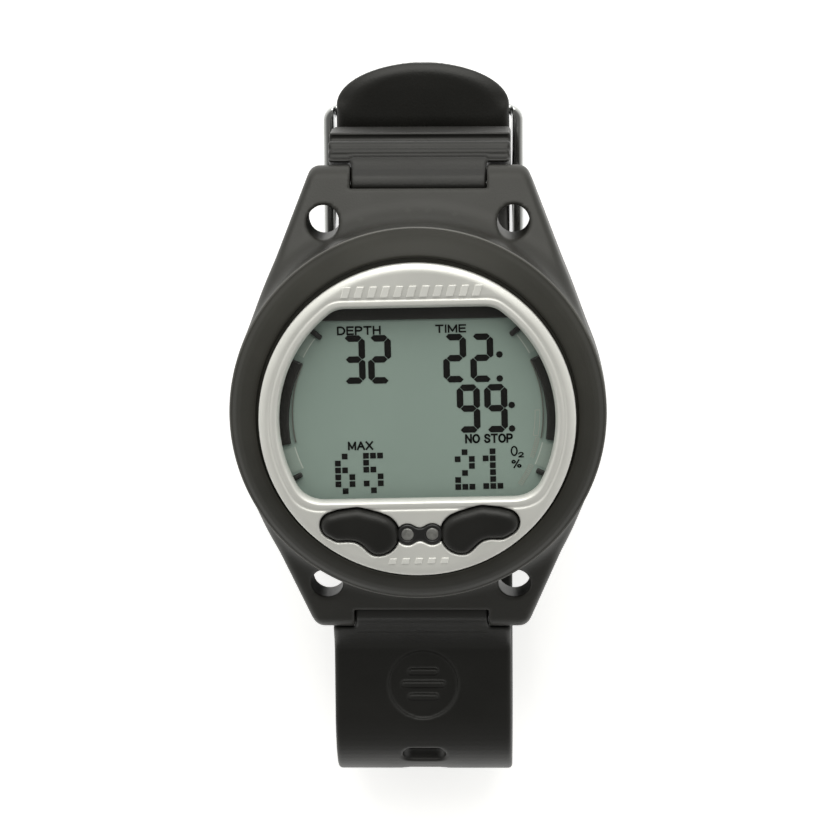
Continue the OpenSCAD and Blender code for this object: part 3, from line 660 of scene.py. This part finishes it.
# letters as strokes in a box one unit high: width, then lines through (x, y) points
STROKES = {
    "D": (0.72, [[(0, 0), (0, 1), (0.38, 1), (0.6, 0.88), (0.72, 0.62), (0.72, 0.38), (0.6, 0.12),
                  (0.38, 0), (0, 0)]]),
    "E": (0.62, [[(0.62, 1), (0, 1), (0, 0), (0.62, 0)], [(0, 0.52), (0.56, 0.52)]]),
    "P": (0.64, [[(0, 0), (0, 1), (0.42, 1), (0.6, 0.9), (0.64, 0.74), (0.6, 0.56), (0.42, 0.46),
                  (0, 0.46)]]),
    "T": (0.7, [[(0, 1), (0.7, 1)], [(0.35, 1), (0.35, 0)]]),
    "H": (0.68, [[(0, 0), (0, 1)], [(0.68, 0), (0.68, 1)], [(0, 0.52), (0.68, 0.52)]]),
    "I": (0.0, [[(0, 0), (0, 1)]]),
    "M": (0.82, [[(0, 0), (0, 1), (0.41, 0.12), (0.82, 1), (0.82, 0)]]),
    "A": (0.8, [[(0, 0), (0.4, 1), (0.8, 0)], [(0.16, 0.36), (0.64, 0.36)]]),
    "X": (0.74, [[(0, 0), (0.74, 1)], [(0, 1), (0.74, 0)]]),
    "N": (0.68, [[(0, 0), (0, 1), (0.68, 0), (0.68, 1)]]),
    "O": (0.8, [[(0.8 * (0.5 + 0.5 * math.cos(math.pi * i / 10)), 0.5 + 0.5 * math.sin(math.pi * i / 10))
                 for i in range(21)]]),
    "S": (0.62, [[(0.6, 0.8), (0.5, 0.95), (0.3, 1), (0.1, 0.95), (0.02, 0.78), (0.1, 0.6), (0.5, 0.44),
                  (0.62, 0.24), (0.52, 0.06), (0.3, 0), (0.1, 0.05), (0, 0.22)]]),
    "2": (0.6, [[(0, 0.74), (0.08, 0.93), (0.3, 1), (0.52, 0.92), (0.6, 0.72), (0.5, 0.5), (0, 0),
                 (0.6, 0)]]),
    "%": (0.9, [[(0.2, 0), (0.7, 1)], circle_outline(0.16, 0.78, 0.16, 12) + [(0.32, 0.78)],
                circle_outline(0.74, 0.22, 0.16, 12) + [(0.9, 0.22)]]),
    " ": (0.2, []),
}


def legend(bm, text, cx, cy, width, height, weight):
    """Adds a plain legend of strokes, fitted to width by height about a centre."""
    gap = 0.3
    total = sum(STROKES[c][0] for c in text) + gap * (len(text) - 1)
    body_w, body_h = width - weight * height, height * (1 - weight)
    sx = body_w / max(total, 0.01)
    half = weight * height / 2
    pen = cx - body_w / 2
    for c in text:
        advance, lines = STROKES[c]
        for line in lines:
            pts = [(pen + px * sx, cy - body_h / 2 + py * body_h) for px, py in line]
            for n, ((x0, y0), (x1, y1)) in enumerate(zip(pts, pts[1:])):
                size = math.hypot(x1 - x0, y1 - y0)
                ux, uy = (x1 - x0) / size * half, (y1 - y0) / size * half
                if n == 0:
                    x0, y0 = x0 - ux, y0 - uy
                if n == len(pts) - 2:
                    x1, y1 = x1 + ux, y1 + uy
                stroke = [(x0 - uy, y0 + ux), (x0 + uy, y0 - ux), (x1 + uy, y1 - ux), (x1 - uy, y1 + ux)]
                flat_solid(bm, stroke, INK_LOW, INK_HIGH)
            for px, py in pts[1:-1]:
                flat_solid(bm, circle_outline(px, py, half, 10), INK_LOW, INK_HIGH)
        pen += (advance + gap) * sx


# text, centre, width, height and stroke weight
LEGENDS = (
    ("DEPTH", -9.58, 14.56, 7.4, 1.51, 0.2), ("TIME", 5.91, 14.6, 5.2, 1.42, 0.2),
    ("MAX", -9.83, -5.24, 4.3, 1.52, 0.2), ("NO STOP", 11.96, -4.38, 8.1, 1.62, 0.2),
    ("O", 16.18, -6.63, 1.2, 1.77, 0.14), ("2", 17.32, -7.3, 0.95, 0.95, 0.22),
    ("%", 16.52, -8.86, 1.7, 1.55, 0.16))

words = bmesh.new()
for entry in LEGENDS:
    legend(words, *entry)
characters.append(from_bmesh("display_legends", words))
place(turn_face(join("display_characters", characters)), "case", INK, "lcd_mask")

# pale arc segments that are switched off: radii, angles and the number of hatching bars
FAINT_ARCS = ((19.8, 20.7, -11.5, 1.0, 0), (20.3, 21.0, -22.0, -12.5, 9), (20.7, 21.5, -36.0, -25.5, 10))
FAINT_LINE, FAINT_HALF_ANGLE = 0.09, 0.13

faint = bmesh.new()
for r0, r1, a0, a1, bars in FAINT_ARCS:
    for edge in (r0, r1 - FAINT_LINE):
        flat_solid(faint, arc_outline(edge, edge + FAINT_LINE, a0, a1), INK_LOW, INK_HIGH - 0.02)
    for i in range(bars + 2):
        a = a0 + (a1 - a0) * i / (bars + 1)
        bar = arc_outline(r0, r1, a - FAINT_HALF_ANGLE, a + FAINT_HALF_ANGLE, 2)
        flat_solid(faint, bar, INK_LOW, INK_HIGH - 0.02)
place(turn_face(from_bmesh("display_bar_graph", faint)), "case", LCD_FAINT, "lcd_grey")

# the reflector shows past the display in four tabs between these angles, each with a bright edge
TAB_ANGLES = ((28, 38), (142, 152), (-24.5, -14), (194, 204.5))
for name, r0, r1, top, look in (("display_reflector", 21.7, 23.9, INK_HIGH, LCD_LIGHT),
                                ("display_reflector_edge", 21.55, 21.72, INK_HIGH + 0.02, LCD_EDGE)):
    tabs = bmesh.new()
    for a0, a1 in TAB_ANGLES:
        flat_solid(tabs, arc_outline(r0, r1, a0, a1), INK_LOW, top)
    place(turn_face(from_bmesh(name, tabs)), "case", look, "lcd_grey")

MASK_LOW, MASK_HIGH = LCD_Z + 0.08, LCD_Z + 0.75
# above this height the mask paints the shadow of the window's upper wall
WALL_SHADOW_Y = 16.35
SIDE_BAR_R, SIDE_BAR_LOW, SIDE_BAR_HIGH = 21.3, -12, 25.5       # radius and end angles
MM_PER_DEGREE = 0.38
MASK_TEETH = ((40.0, 20.8), (-26.5, 22.2))      # angle and inner radius


def mask_field(x, y, z):
    """The dark band above the display, which is painted shade for the shadow of the window's upper wall,
    and the mask's two side bars and four small teeth.
    """
    window = window_distance(x, y)
    # painted shade: the upper wall's shadow on the display, drawn as dark mask
    band = WALL_SHADOW_Y - y
    r = np.hypot(x, y)
    angle = np.degrees(np.arctan2(y, np.abs(x)))
    inner = SIDE_BAR_R + 0.02 * (25 - angle)
    side = largest(inner - r, (angle - SIDE_BAR_HIGH) * MM_PER_DEGREE,
                   (SIDE_BAR_LOW - angle) * MM_PER_DEGREE)
    mask = np.minimum(band, side)
    for a, r0 in MASK_TEETH:
        c, s = math.cos(math.radians(a)), math.sin(math.radians(a))
        radial, across = np.abs(x) * c + y * s, -np.abs(x) * s + y * c
        mask = np.minimum(mask, rounded_box(radial - r0 - 2, across, 2, 0.45, 0.3))
    height = np.abs(z - (MASK_LOW + MASK_HIGH) / 2) - (MASK_HIGH - MASK_LOW) / 2
    slope = smooth_max(mask, height, 0.3)
    return largest(slope, r - 24.4, window - 0.8)


mask = surface("display_mask", mask_field, (-24.8, -16, 16.5), (24.8, 20.8, 17.5), 0.15)
sides = bmesh.new()
for a0, a1 in ((SIDE_BAR_LOW, 25), (155, 180 - SIDE_BAR_LOW)):
    strip = arc_outline(SIDE_BAR_R - 0.18, SIDE_BAR_R + 0.02, a0, a1)
    flat_solid(sides, strip, MASK_LOW - 0.02, MASK_HIGH - 0.3)
place(turn_face(from_bmesh("display_mask_side", sides)), "case", MASK_SIDE, "lcd_mask")
turn_face(mask)
place(mask, "case", MASK_AND_WALL_SHADOW, "lcd_mask", ["lcd_mask"])

# ------------------------------------------------------------------ straps


def s_run(a, b, n):
    """Points of an S curve from a up to b."""
    return [(a[0] + (b[0] - a[0]) * i / n,
             a[1] + (b[1] - a[1]) * (1 - math.cos(math.pi * i / n)) / 2) for i in range(n)]


def arc(cy, cz, r, a0, a1, n):
    """Points of an arc between two angles in degrees."""
    return [(cy + r * math.cos(math.radians(a0 + (a1 - a0) * i / n)),
             cz + r * math.sin(math.radians(a0 + (a1 - a0) * i / n))) for i in range(n + 1)]


strap_path = Path(
    s_run((-PIVOT_Y - 1.2, 0.9), (-46, FRONT_Z), 28) + [(-46, FRONT_Z)]
    + arc(BEND_Y, FRONT_Z - BEND_R, BEND_R, 90, 270, 36) + [(-28, BACK_Z)]
    + s_run((8, BACK_Z), (LOW_BAR_Y, WEAVE_Z), 12) + s_run((LOW_BAR_Y, WEAVE_Z), (MID_BAR_Y, BACK_Z), 16)
    + s_run((MID_BAR_Y, BACK_Z), (TOP_BAR_Y, WEAVE_Z), 16)
    + [(TOP_BAR_Y, WEAVE_Z), (51, -24.25), (TIP_Y, TIP_Z)])
bend_s = strap_path.at(BEND_Y, FRONT_Z)
tail_s = strap_path.at(6, BACK_Z)
tip_s = strap_path.total
bend_holes = [bend_s + BEND_R * math.radians(a - 90) for a in (131, 165, 199, 233)]
back_holes = [strap_path.at(-50 + 7.5 * i, BACK_Z) for i in range(8)]
pin_hole = strap_path.at(25, (WEAVE_Z + BACK_Z) / 2 + 0.15)
hole_places = bend_holes + back_holes + [pin_hole]


def knuckle(ax, dy, dz):
    """The barrel on a spring bar with its neck; dy points out of the case."""
    barrel = np.hypot(dy, dz) - BARREL_R
    neck = largest(-dy, dy - 4.6, 0.954 * dz + 0.298 * dy - 2.48, 0.707 * (dy + dz) - 2.616, -dz - 3.0)
    solid = smooth_min(barrel, neck, 0.4)
    return smooth_max(solid, ax - BARREL_W / 2, 0.5)


def strap_field(x, y, z):
    """The long strap: knuckle, slots, recessed badge, narrower tail and round bevelled tip."""
    s, n = strap_path.locate(y, z)
    ax = np.abs(x)
    narrow = ramp(s, tail_s - 8, tail_s)
    half_t = (STRAP_T - (STRAP_T - TAIL_T) * narrow) / 2
    tip = np.clip((s - tip_s + TIP_L) / TIP_L, 0, 0.9999)
    half_w = (STRAP_W - (STRAP_W - TAIL_W) * narrow) / 2 * np.sqrt(1 - tip ** 2)
    edge = 0.75 + 0.43 * ramp(s, tip_s - 12, tip_s - 9)
    band = rounded_box(ax, n, half_w, half_t, np.minimum(edge, half_w * 0.9))
    band = np.maximum(band, np.where(z < BACK_Z / 2, y - TIP_Y + 0.02, band))
    inside_edge = (1 - np.hypot(ax / (TAIL_W / 2), tip)) * 11
    bevel = np.clip(1 - inside_edge / 3.2, 0, 1) ** 2 * ramp(s, tip_s - 9, tip_s - 6)
    band = smooth_max(band, n - half_t + bevel, 0.3)
    swing = SWING_R + 0.05 - np.hypot(y + PIVOT_Y, z - PIVOT_Z)
    band = smooth_max(band, swing, 0.7)
    for hole_s in hole_places:
        u = np.maximum(ax - (HOLE_W - HOLE_L) / 2, 0)
        band = smooth_max(band, HOLE_L / 2 - np.hypot(u, s - hole_s), 0.5)
    # a plain round recess with three raised bars on the outer face
    v = s - bend_s + 4.7
    bars = np.minimum(np.minimum(
        rounded_box(x, v, 3.9, 0.55, 0.5), rounded_box(x, v - 2.3, 2.7, 0.55, 0.5)),
        rounded_box(x, v + 2.3, 2.7, 0.55, 0.5))
    recess = smooth_max(np.hypot(x, v) - 6.1, half_t - 0.5 + n, 0.3)
    band = smooth_max(band, -smooth_max(recess, -bars, 0.3), 0.3)
    solid = smooth_min(band, knuckle(ax, -(y + PIVOT_Y), z - PIVOT_Z), 0.6)
    return np.maximum(solid, 1.05 - np.hypot(y + PIVOT_Y, z - PIVOT_Z))


strap = surface("strap_long_rubber", strap_field, (-16.2, -71.2, -30.9), (16.2, 56.4, 5.0), 0.42)
place(strap, "strap_long", STRAP_BLACK, "strap_rubber", ["strap_long"])

link_path = Path(
    [(40.0, 0.3), (41.6, -1.2), (42.4, -3.2), (42.9, -6.5), (43.4, -10), (43.7, -13)]
    + arc(36.3, -15.2, 7.4, 0, -72, 12) + [(36.0, -23.3), (34.4, -23.9)])
link_thin_s = link_path.at(41.0, -20.8)


def link_field(x, y, z):
    """The short link: knuckle, two cross ribs with grooves and the open cradles for the bar."""
    s, n = link_path.locate(y, z)
    ax = np.abs(x)
    half_t = 1.35 - 0.4 * ramp(s, link_thin_s, link_path.total)
    plate = rounded_box(ax, n, STRAP_W / 2, half_t, 0.7)
    plate = smooth_max(plate, SWING_R + 0.05 - np.hypot(y - PIVOT_Y, z - PIVOT_Z), 0.7)
    ribs = np.minimum(rounded_box(y - 43.9, z + 8.8, 1.3, 4.2, 0.5), np.hypot(y - 43.05, z + 2.25) - 1.1)
    plate = smooth_min(plate, smooth_max(ribs, ax - STRAP_W / 2 - 0.05, 0.5), 0.25)
    for groove_y, groove_z in ((44.45, -4.5), (42.35, 0.55)):
        plate = smooth_max(plate, 0.95 - np.hypot(y - groove_y, z - groove_z), 0.3)
    dy, dz = y - MID_BAR_Y, z - MID_BAR_Z
    cradle = smooth_max(np.hypot(dy, dz) - 2.1, ax - STRAP_W / 2, 0.5)
    mouth = math.radians(34)
    open_side = largest(dy * math.cos(mouth) - dz * math.sin(mouth),
                        dy * math.sin(mouth) + dz * math.cos(mouth))
    cradle = smooth_max(smooth_max(cradle, 1.0 - np.hypot(dy, dz), 0.2), -open_side, 0.3)
    solid = smooth_min(plate, cradle, 0.8)
    knuckle_gap = np.maximum(rounded_box(ax, y - 28.1, 3.35, 8.1, 0.8), z + 23.2)
    solid = smooth_max(solid, -knuckle_gap, 0.3)
    solid = smooth_min(solid, knuckle(ax, y - PIVOT_Y, z - PIVOT_Z), 0.6)
    return np.maximum(solid, 1.05 - np.hypot(y - PIVOT_Y, z - PIVOT_Z))


link = surface("strap_link_rubber", link_field, (-16.4, 29.8, -28.8), (16.4, 46.2, 5.0), 0.36)
place(link, "strap_link", STRAP_BLACK, "strap_rubber", ["strap_link"])

# ------------------------------------------------------------------ buckle


def frame_field(x, y, z):
    """The buckle's flat frame, with low end bars between higher rails."""
    ax = np.abs(x)
    mid_y, half_y = (LOW_BAR_Y + TOP_BAR_Y) / 2, (TOP_BAR_Y - LOW_BAR_Y) / 2
    outer = rounded_box(ax, y - mid_y, RAIL_OUT, half_y + 0.9, 2.6)
    inner = rounded_box(ax, y - mid_y, RAIL_IN, half_y - 0.9, 0.9)
    top = FRAME_TOP_Z + (FRAME_BAR_Z - FRAME_TOP_Z) * ramp(-ax, -RAIL_IN - 0.25, -RAIL_IN + 0.05)
    body = smooth_max(smooth_max(outer, -inner, 0.7), z - top, 0.8)
    body = smooth_max(body, FRAME_LOW_Z - z, 0.8)
    return np.maximum(body, 0.7 - np.hypot(y - MID_BAR_Y, z - MID_BAR_Z) - 10 * (ax > RAIL_IN + 0.8))


buckle = surface("buckle_frame_chrome", frame_field, (-17.9, 17.2, -28.3), (17.9, 48.1, -24.6), 0.22)
place(buckle, "buckle", CHROME, "chrome", ["buckle_frame"])


def lying(obj, y, z):
    """Turns an upright turned part to lie along X at y, z."""
    obj.data.transform(Matrix.Translation((0, y * MM, z * MM)) @ Matrix.Rotation(math.pi / 2, 4, "Y"))
    return obj


bar = revolve("buckle_bar_chrome", rounded(
    [(AXIS, -16.45), (0.55, -16.45), (0.69, -16.3), (0.69, 16.3), (0.55, 16.45), (AXIS, 16.45)], 0.1), 48)
place(lying(bar, MID_BAR_Y, MID_BAR_Z), "buckle", CHROME, "chrome", ["buckle_bar"])

tongue_path = Path([(32.2, -25), (29.5, -24.6), (27.2, -24.15), (26.1, -24.5), (25.5, -25.4),
                    (24.6, -27.6), (24.1, -28.4), (23.1, -28.8), (20, -28.8), (16.9, -28.8)])


def tongue_field(x, y, z):
    """The bent tongue with its round end and the eye on the bar."""
    s, n = tongue_path.locate(y, z)
    end = np.clip((s - tongue_path.total + 2.2) / 2.2, 0, 0.9999)
    half_w = TONGUE_W / 2 - 0.6 * (1 - np.sqrt(1 - end ** 2))
    blade = smooth_max(rounded_box(x, n, half_w, TONGUE_T / 2, 0.4), 16.95 - y, 0.5)
    dy, dz = y - MID_BAR_Y, z - MID_BAR_Z
    eye = smooth_max(np.hypot(dy, dz) - 1.5, np.abs(x) - TONGUE_W / 2, 0.3)
    return np.maximum(smooth_min(blade, eye, 0.5), 0.9 - np.hypot(dy, dz))


tongue = surface("buckle_tongue_chrome", tongue_field, (-3.1, 16.5, -29.8), (3.1, 34.9, -23.2), 0.16)
place(tongue, "tongue", CHROME, "chrome", ["buckle_tongue"])

for end, sign in (("top", 1), ("bottom", -1)):
    spring_bar = revolve("spring_bar_steel", rounded([
        (AXIS, -14), (0.45, -14), (0.5, -12.5), (0.88, -12.4), (0.88, -11.9), (0.7, -11.8), (0.7, -11.4),
        (0.88, -11.3), (0.88, 11.3), (0.7, 11.4), (0.7, 11.8), (0.88, 11.9), (0.88, 12.4), (0.5, 12.5),
        (0.45, 14), (AXIS, 14)], 0.04, 2), 40)
    place(lying(spring_bar, sign * PIVOT_Y, PIVOT_Z), "case", STEEL, "steel", ["spring_bar_" + end])

# ------------------------------------------------------------------ back


def cover_field(x, y, z):
    """The rear cover: battery well, screw recesses, sensor port and two fine grooves."""
    r, from_cap = np.hypot(x, y), np.hypot(x, y + CAP_OFFSET)
    disc = smooth_max(r - COVER_R + 0.05, np.abs(z - COVER_T / 2) - COVER_T / 2, 0.4)
    well = np.maximum(from_cap - 11.85, np.abs(z - 2.5) - 2.45)
    solid = np.minimum(disc, well)
    recess = np.minimum(largest(from_cap - CAP_R - 0.3, z - 1.3), from_cap - 10.3)
    solid = smooth_max(solid, -recess, 0.3)
    for a in SCREW_ANGLES:
        d = np.hypot(x - SCREW_RING_R * math.cos(a), y - SCREW_RING_R * math.sin(a))
        solid = smooth_max(solid, -np.minimum(largest(d - 1.25, z - 1.15), d - 0.65), 0.15)
    solid = smooth_max(solid, 1.0 - np.hypot(x - 13.5, y - 10), 0.2)
    groove = np.minimum(largest(np.abs(r - 25.2) - 0.3, z - 0.3),
                        largest(np.abs(from_cap - 12.9) - 0.25, z - 0.3))
    return smooth_max(solid, -groove, 0.15)


cover = surface("rear_cover_moulded", cover_field, (-29, -29, -0.4), (29, 29, 5.3), 0.3)
place(cover, "case", CASE_BLACK, "inner_plastic", ["rear_cover"])


def cap_field(x, y, z):
    """The battery cap: flange, plug with its seal groove, two bayonet lugs and a coin slot."""
    v = y + CAP_OFFSET
    r = np.hypot(x, v)
    flange = smooth_max(r - CAP_R, np.abs(z - 0.675) - 0.525, 0.3)
    plug = smooth_max(r - PLUG_R, largest(1.0 - z, z - 3.6), 0.3)
    plug = smooth_max(plug, -largest(9.3 - r, np.abs(z - 1.925) - 0.37), 0.1)
    solid = np.minimum(flange, plug)
    turn = math.radians(-15)
    across = -x * math.sin(turn) + v * math.cos(turn)
    lugs = largest(np.abs(across) - 1.6, r - 10.8, 9.3 - r, 3.05 - z, z - 3.6)
    solid = np.minimum(solid, lugs)
    slot = largest(rounded_box(x, v, 7.5, 0.9, 0.85), z - 0.9)
    solid = smooth_max(solid, -slot, 0.2)
    ring = largest(np.abs(r - 9.2) - 0.25, z - 0.4)
    return smooth_max(solid, -ring, 0.15)


cap = surface("battery_cap_moulded", cap_field, (-11.5, -23.7, -0.3), (11.5, -0.7, 4.0), 0.2)
place(cap, "cap", CASE_BLACK, "inner_plastic", ["battery_cap"])


def screw_field(x, y, z):
    """A small slotted screw with a faint thread, its head down."""
    r = np.hypot(x, y)
    head = smooth_max(r - 1.18, np.abs(z - 0.66) - 0.5, 0.2)
    shaft = np.maximum(r - 0.57 + 0.06 * np.abs(np.sin(z * 9)), largest(0.8 - z, z - 6.1))
    slot = largest(np.abs(x) - 0.2, z - 0.5)
    return smooth_max(np.minimum(head, shaft), -slot, 0.06)


screws = []
for i, a in enumerate(SCREW_ANGLES):
    screw = surface("rear_screw_set", screw_field, (-1.4, -1.4, -0.1), (1.4, 1.4, 6.4), 0.13)
    turn = Matrix.Rotation(a + 0.6 * i, 4, "Z")
    spot = Matrix.Translation((SCREW_RING_R * math.cos(a) * MM, SCREW_RING_R * math.sin(a) * MM, 0))
    screw.data.transform(spot @ turn)
    screws.append(screw)
place(join("rear_screw_set", screws), "case", STEEL, "steel", ["rear_screws"])

# ------------------------------------------------------------------ glass, lens and inner parts


def glass_outline(r, top, bottom, n=96):
    """A circle cut by straight edges above and below its centre."""
    a_top, a_bottom = math.asin(top / r), math.asin(bottom / r)
    right = [(-a_bottom + (a_top + a_bottom) * i / n) for i in range(n + 1)]
    left = [math.pi - a for a in right[::-1]]
    return [(r * math.cos(a), r * math.sin(a)) for a in right + left]


slab = bmesh.new()
flat_solid(slab, glass_outline(GLASS_R, GLASS_TOP, GLASS_BOTTOM), GLASS_Z, LCD_Z)
glass = from_bmesh("display_glass", slab)
bevel = glass.modifiers.new("edge", "BEVEL")
bevel.width = 0.15 * MM
bevel.segments = 2
place(glass, "case", LCD_GREY, "lcd_grey", ["lcd_glass"])


def lens_field(x, y, z):
    return smooth_max(window_distance(x, y) - 0.8, np.abs(z - LENS_Z) - LENS_HALF_T, 0.25)


lens = surface("lens_polished", lens_field, (-25, -15.2, 17.2), (25, 20.9, 19.5), 0.3)
place(lens, "case", LENS_CLEAR, "lens_clear", ["lens"])

INNER_LOOKS = {
    "lens_gasket": (RUBBER, "black_rubber"), "light_guide": (WHITE, "white_plastic"),
    "lcd_frame": (WHITE, "white_plastic"), "zebra_strips": (ZEBRA, "zebra_rubber"),
    "main_board": (BOARD, "board_green"), "board_chips": (CHIP, "chip_black"),
    "dome_switches": (STEEL, "tin_plate"), "inner_chassis": (INNER, "inner_plastic"),
    "chassis_screws": (STEEL, "steel"), "button_seals": (RUBBER, "black_rubber"),
    "pressure_sensor": (STEEL, "tin_plate"), "sensor_oring": (RUBBER, "black_rubber"),
    "buzzer": (CHIP, "chip_black"), "battery": (STEEL, "steel"),
    "contact_positive": (GOLD, "gold_plate"), "contact_negative": (GOLD, "gold_plate"),
    "battery_oring": (RUBBER, "black_rubber"), "rear_gasket": (SEAL_RED, "seal_red"),
}
for node, (look, slot_name) in INNER_LOOKS.items():
    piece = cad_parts[node]
    piece.data.materials.clear()
    piece.data.materials.append(look)

# ------------------------------------------------------------------ floor, light and camera

STAGE_Z = -30.05
FLOOR = material("floor_paper", (0.93, 0.93, 0.925), 0.9, glow=0.6, vary=0.01, grain=0.02,
                 specular=0.1)
sweep = bmesh.new()
bmesh.ops.create_grid(sweep, x_segments=4, y_segments=4, size=2.5)
floor = from_bmesh("floor", sweep)
floor.location = (0, 0, STAGE_Z * MM)
floor.data.materials.append(FLOOR)


lamp = bpy.data.lights.new("key", "AREA")
lamp.shape = "DISK"
lamp.size = 0.9
lamp.energy = 5.0
lamp.color = (1, 0.995, 0.94)
obj = bpy.data.objects.new("key", lamp)
bpy.context.scene.collection.objects.link(obj)
obj.location = Vector((0, 700, 590)) * MM
obj.rotation_euler = (-obj.location).to_track_quat("-Z", "Y").to_euler()

# the sky is bright low down and towards 12 o'clock, and dark overhead
world = bpy.data.worlds.new("studio")
world.use_nodes = True
sky, wires = world.node_tree.nodes, world.node_tree.links
heading = sky.new("ShaderNodeTexCoord")
parts = sky.new("ShaderNodeSeparateXYZ")
wires.new(heading.outputs["Generated"], parts.inputs["Vector"])
height = sky.new("ShaderNodeValToRGB")
height.color_ramp.elements[0].color = (0.95, 0.945, 0.9, 1)
height.color_ramp.elements[1].color = (0.17, 0.169, 0.16, 1)
middle = height.color_ramp.elements.new(0.7)
middle.color = (0.75, 0.745, 0.71, 1)
wires.new(parts.outputs["Z"], height.inputs["Fac"])
tilt = sky.new("ShaderNodeMapRange")
tilt.inputs["From Min"].default_value = -1
tilt.inputs["To Min"].default_value = 0.42
tilt.inputs["To Max"].default_value = 1.25
wires.new(parts.outputs["Y"], tilt.inputs["Value"])
wires.new(height.outputs["Color"], sky["Background"].inputs["Color"])
wires.new(tilt.outputs["Result"], sky["Background"].inputs["Strength"])
bpy.context.scene.world = world
bpy.context.scene.view_settings.view_transform = "Standard"

CAMERA_DISTANCE, CAMERA_SHIFT, FOCAL_LENGTH, SENSOR = 650, 0.64, 167, 36
ELEVATION, YAW, ROLL = math.radians(11.0), math.radians(1.9), math.radians(0.45)
back = Vector((math.sin(YAW) * math.cos(ELEVATION), math.sin(ELEVATION) * math.cos(YAW),
               math.cos(ELEVATION) * math.cos(YAW))).normalized()
right_of = Vector((0, 1, 0)).cross(back).normalized()
up_of = back.cross(right_of)
right_roll = right_of * math.cos(ROLL) - up_of * math.sin(ROLL)
up_roll = up_of * math.cos(ROLL) + right_of * math.sin(ROLL)
target = Vector((0, 0, RIM_Z)) - right_roll * CAMERA_SHIFT
eye = target + back * CAMERA_DISTANCE
view = Matrix((right_roll, up_roll, back)).transposed().to_4x4()
view.translation = eye * MM
camera_data = bpy.data.cameras.new("camera")
camera_data.lens = FOCAL_LENGTH
camera_data.sensor_width = SENSOR
camera_data.clip_start = 0.05
camera_data.clip_end = 10
camera = bpy.data.objects.new("camera", camera_data)
bpy.context.scene.collection.objects.link(camera)
camera.matrix_world = view
bpy.context.scene.camera = camera
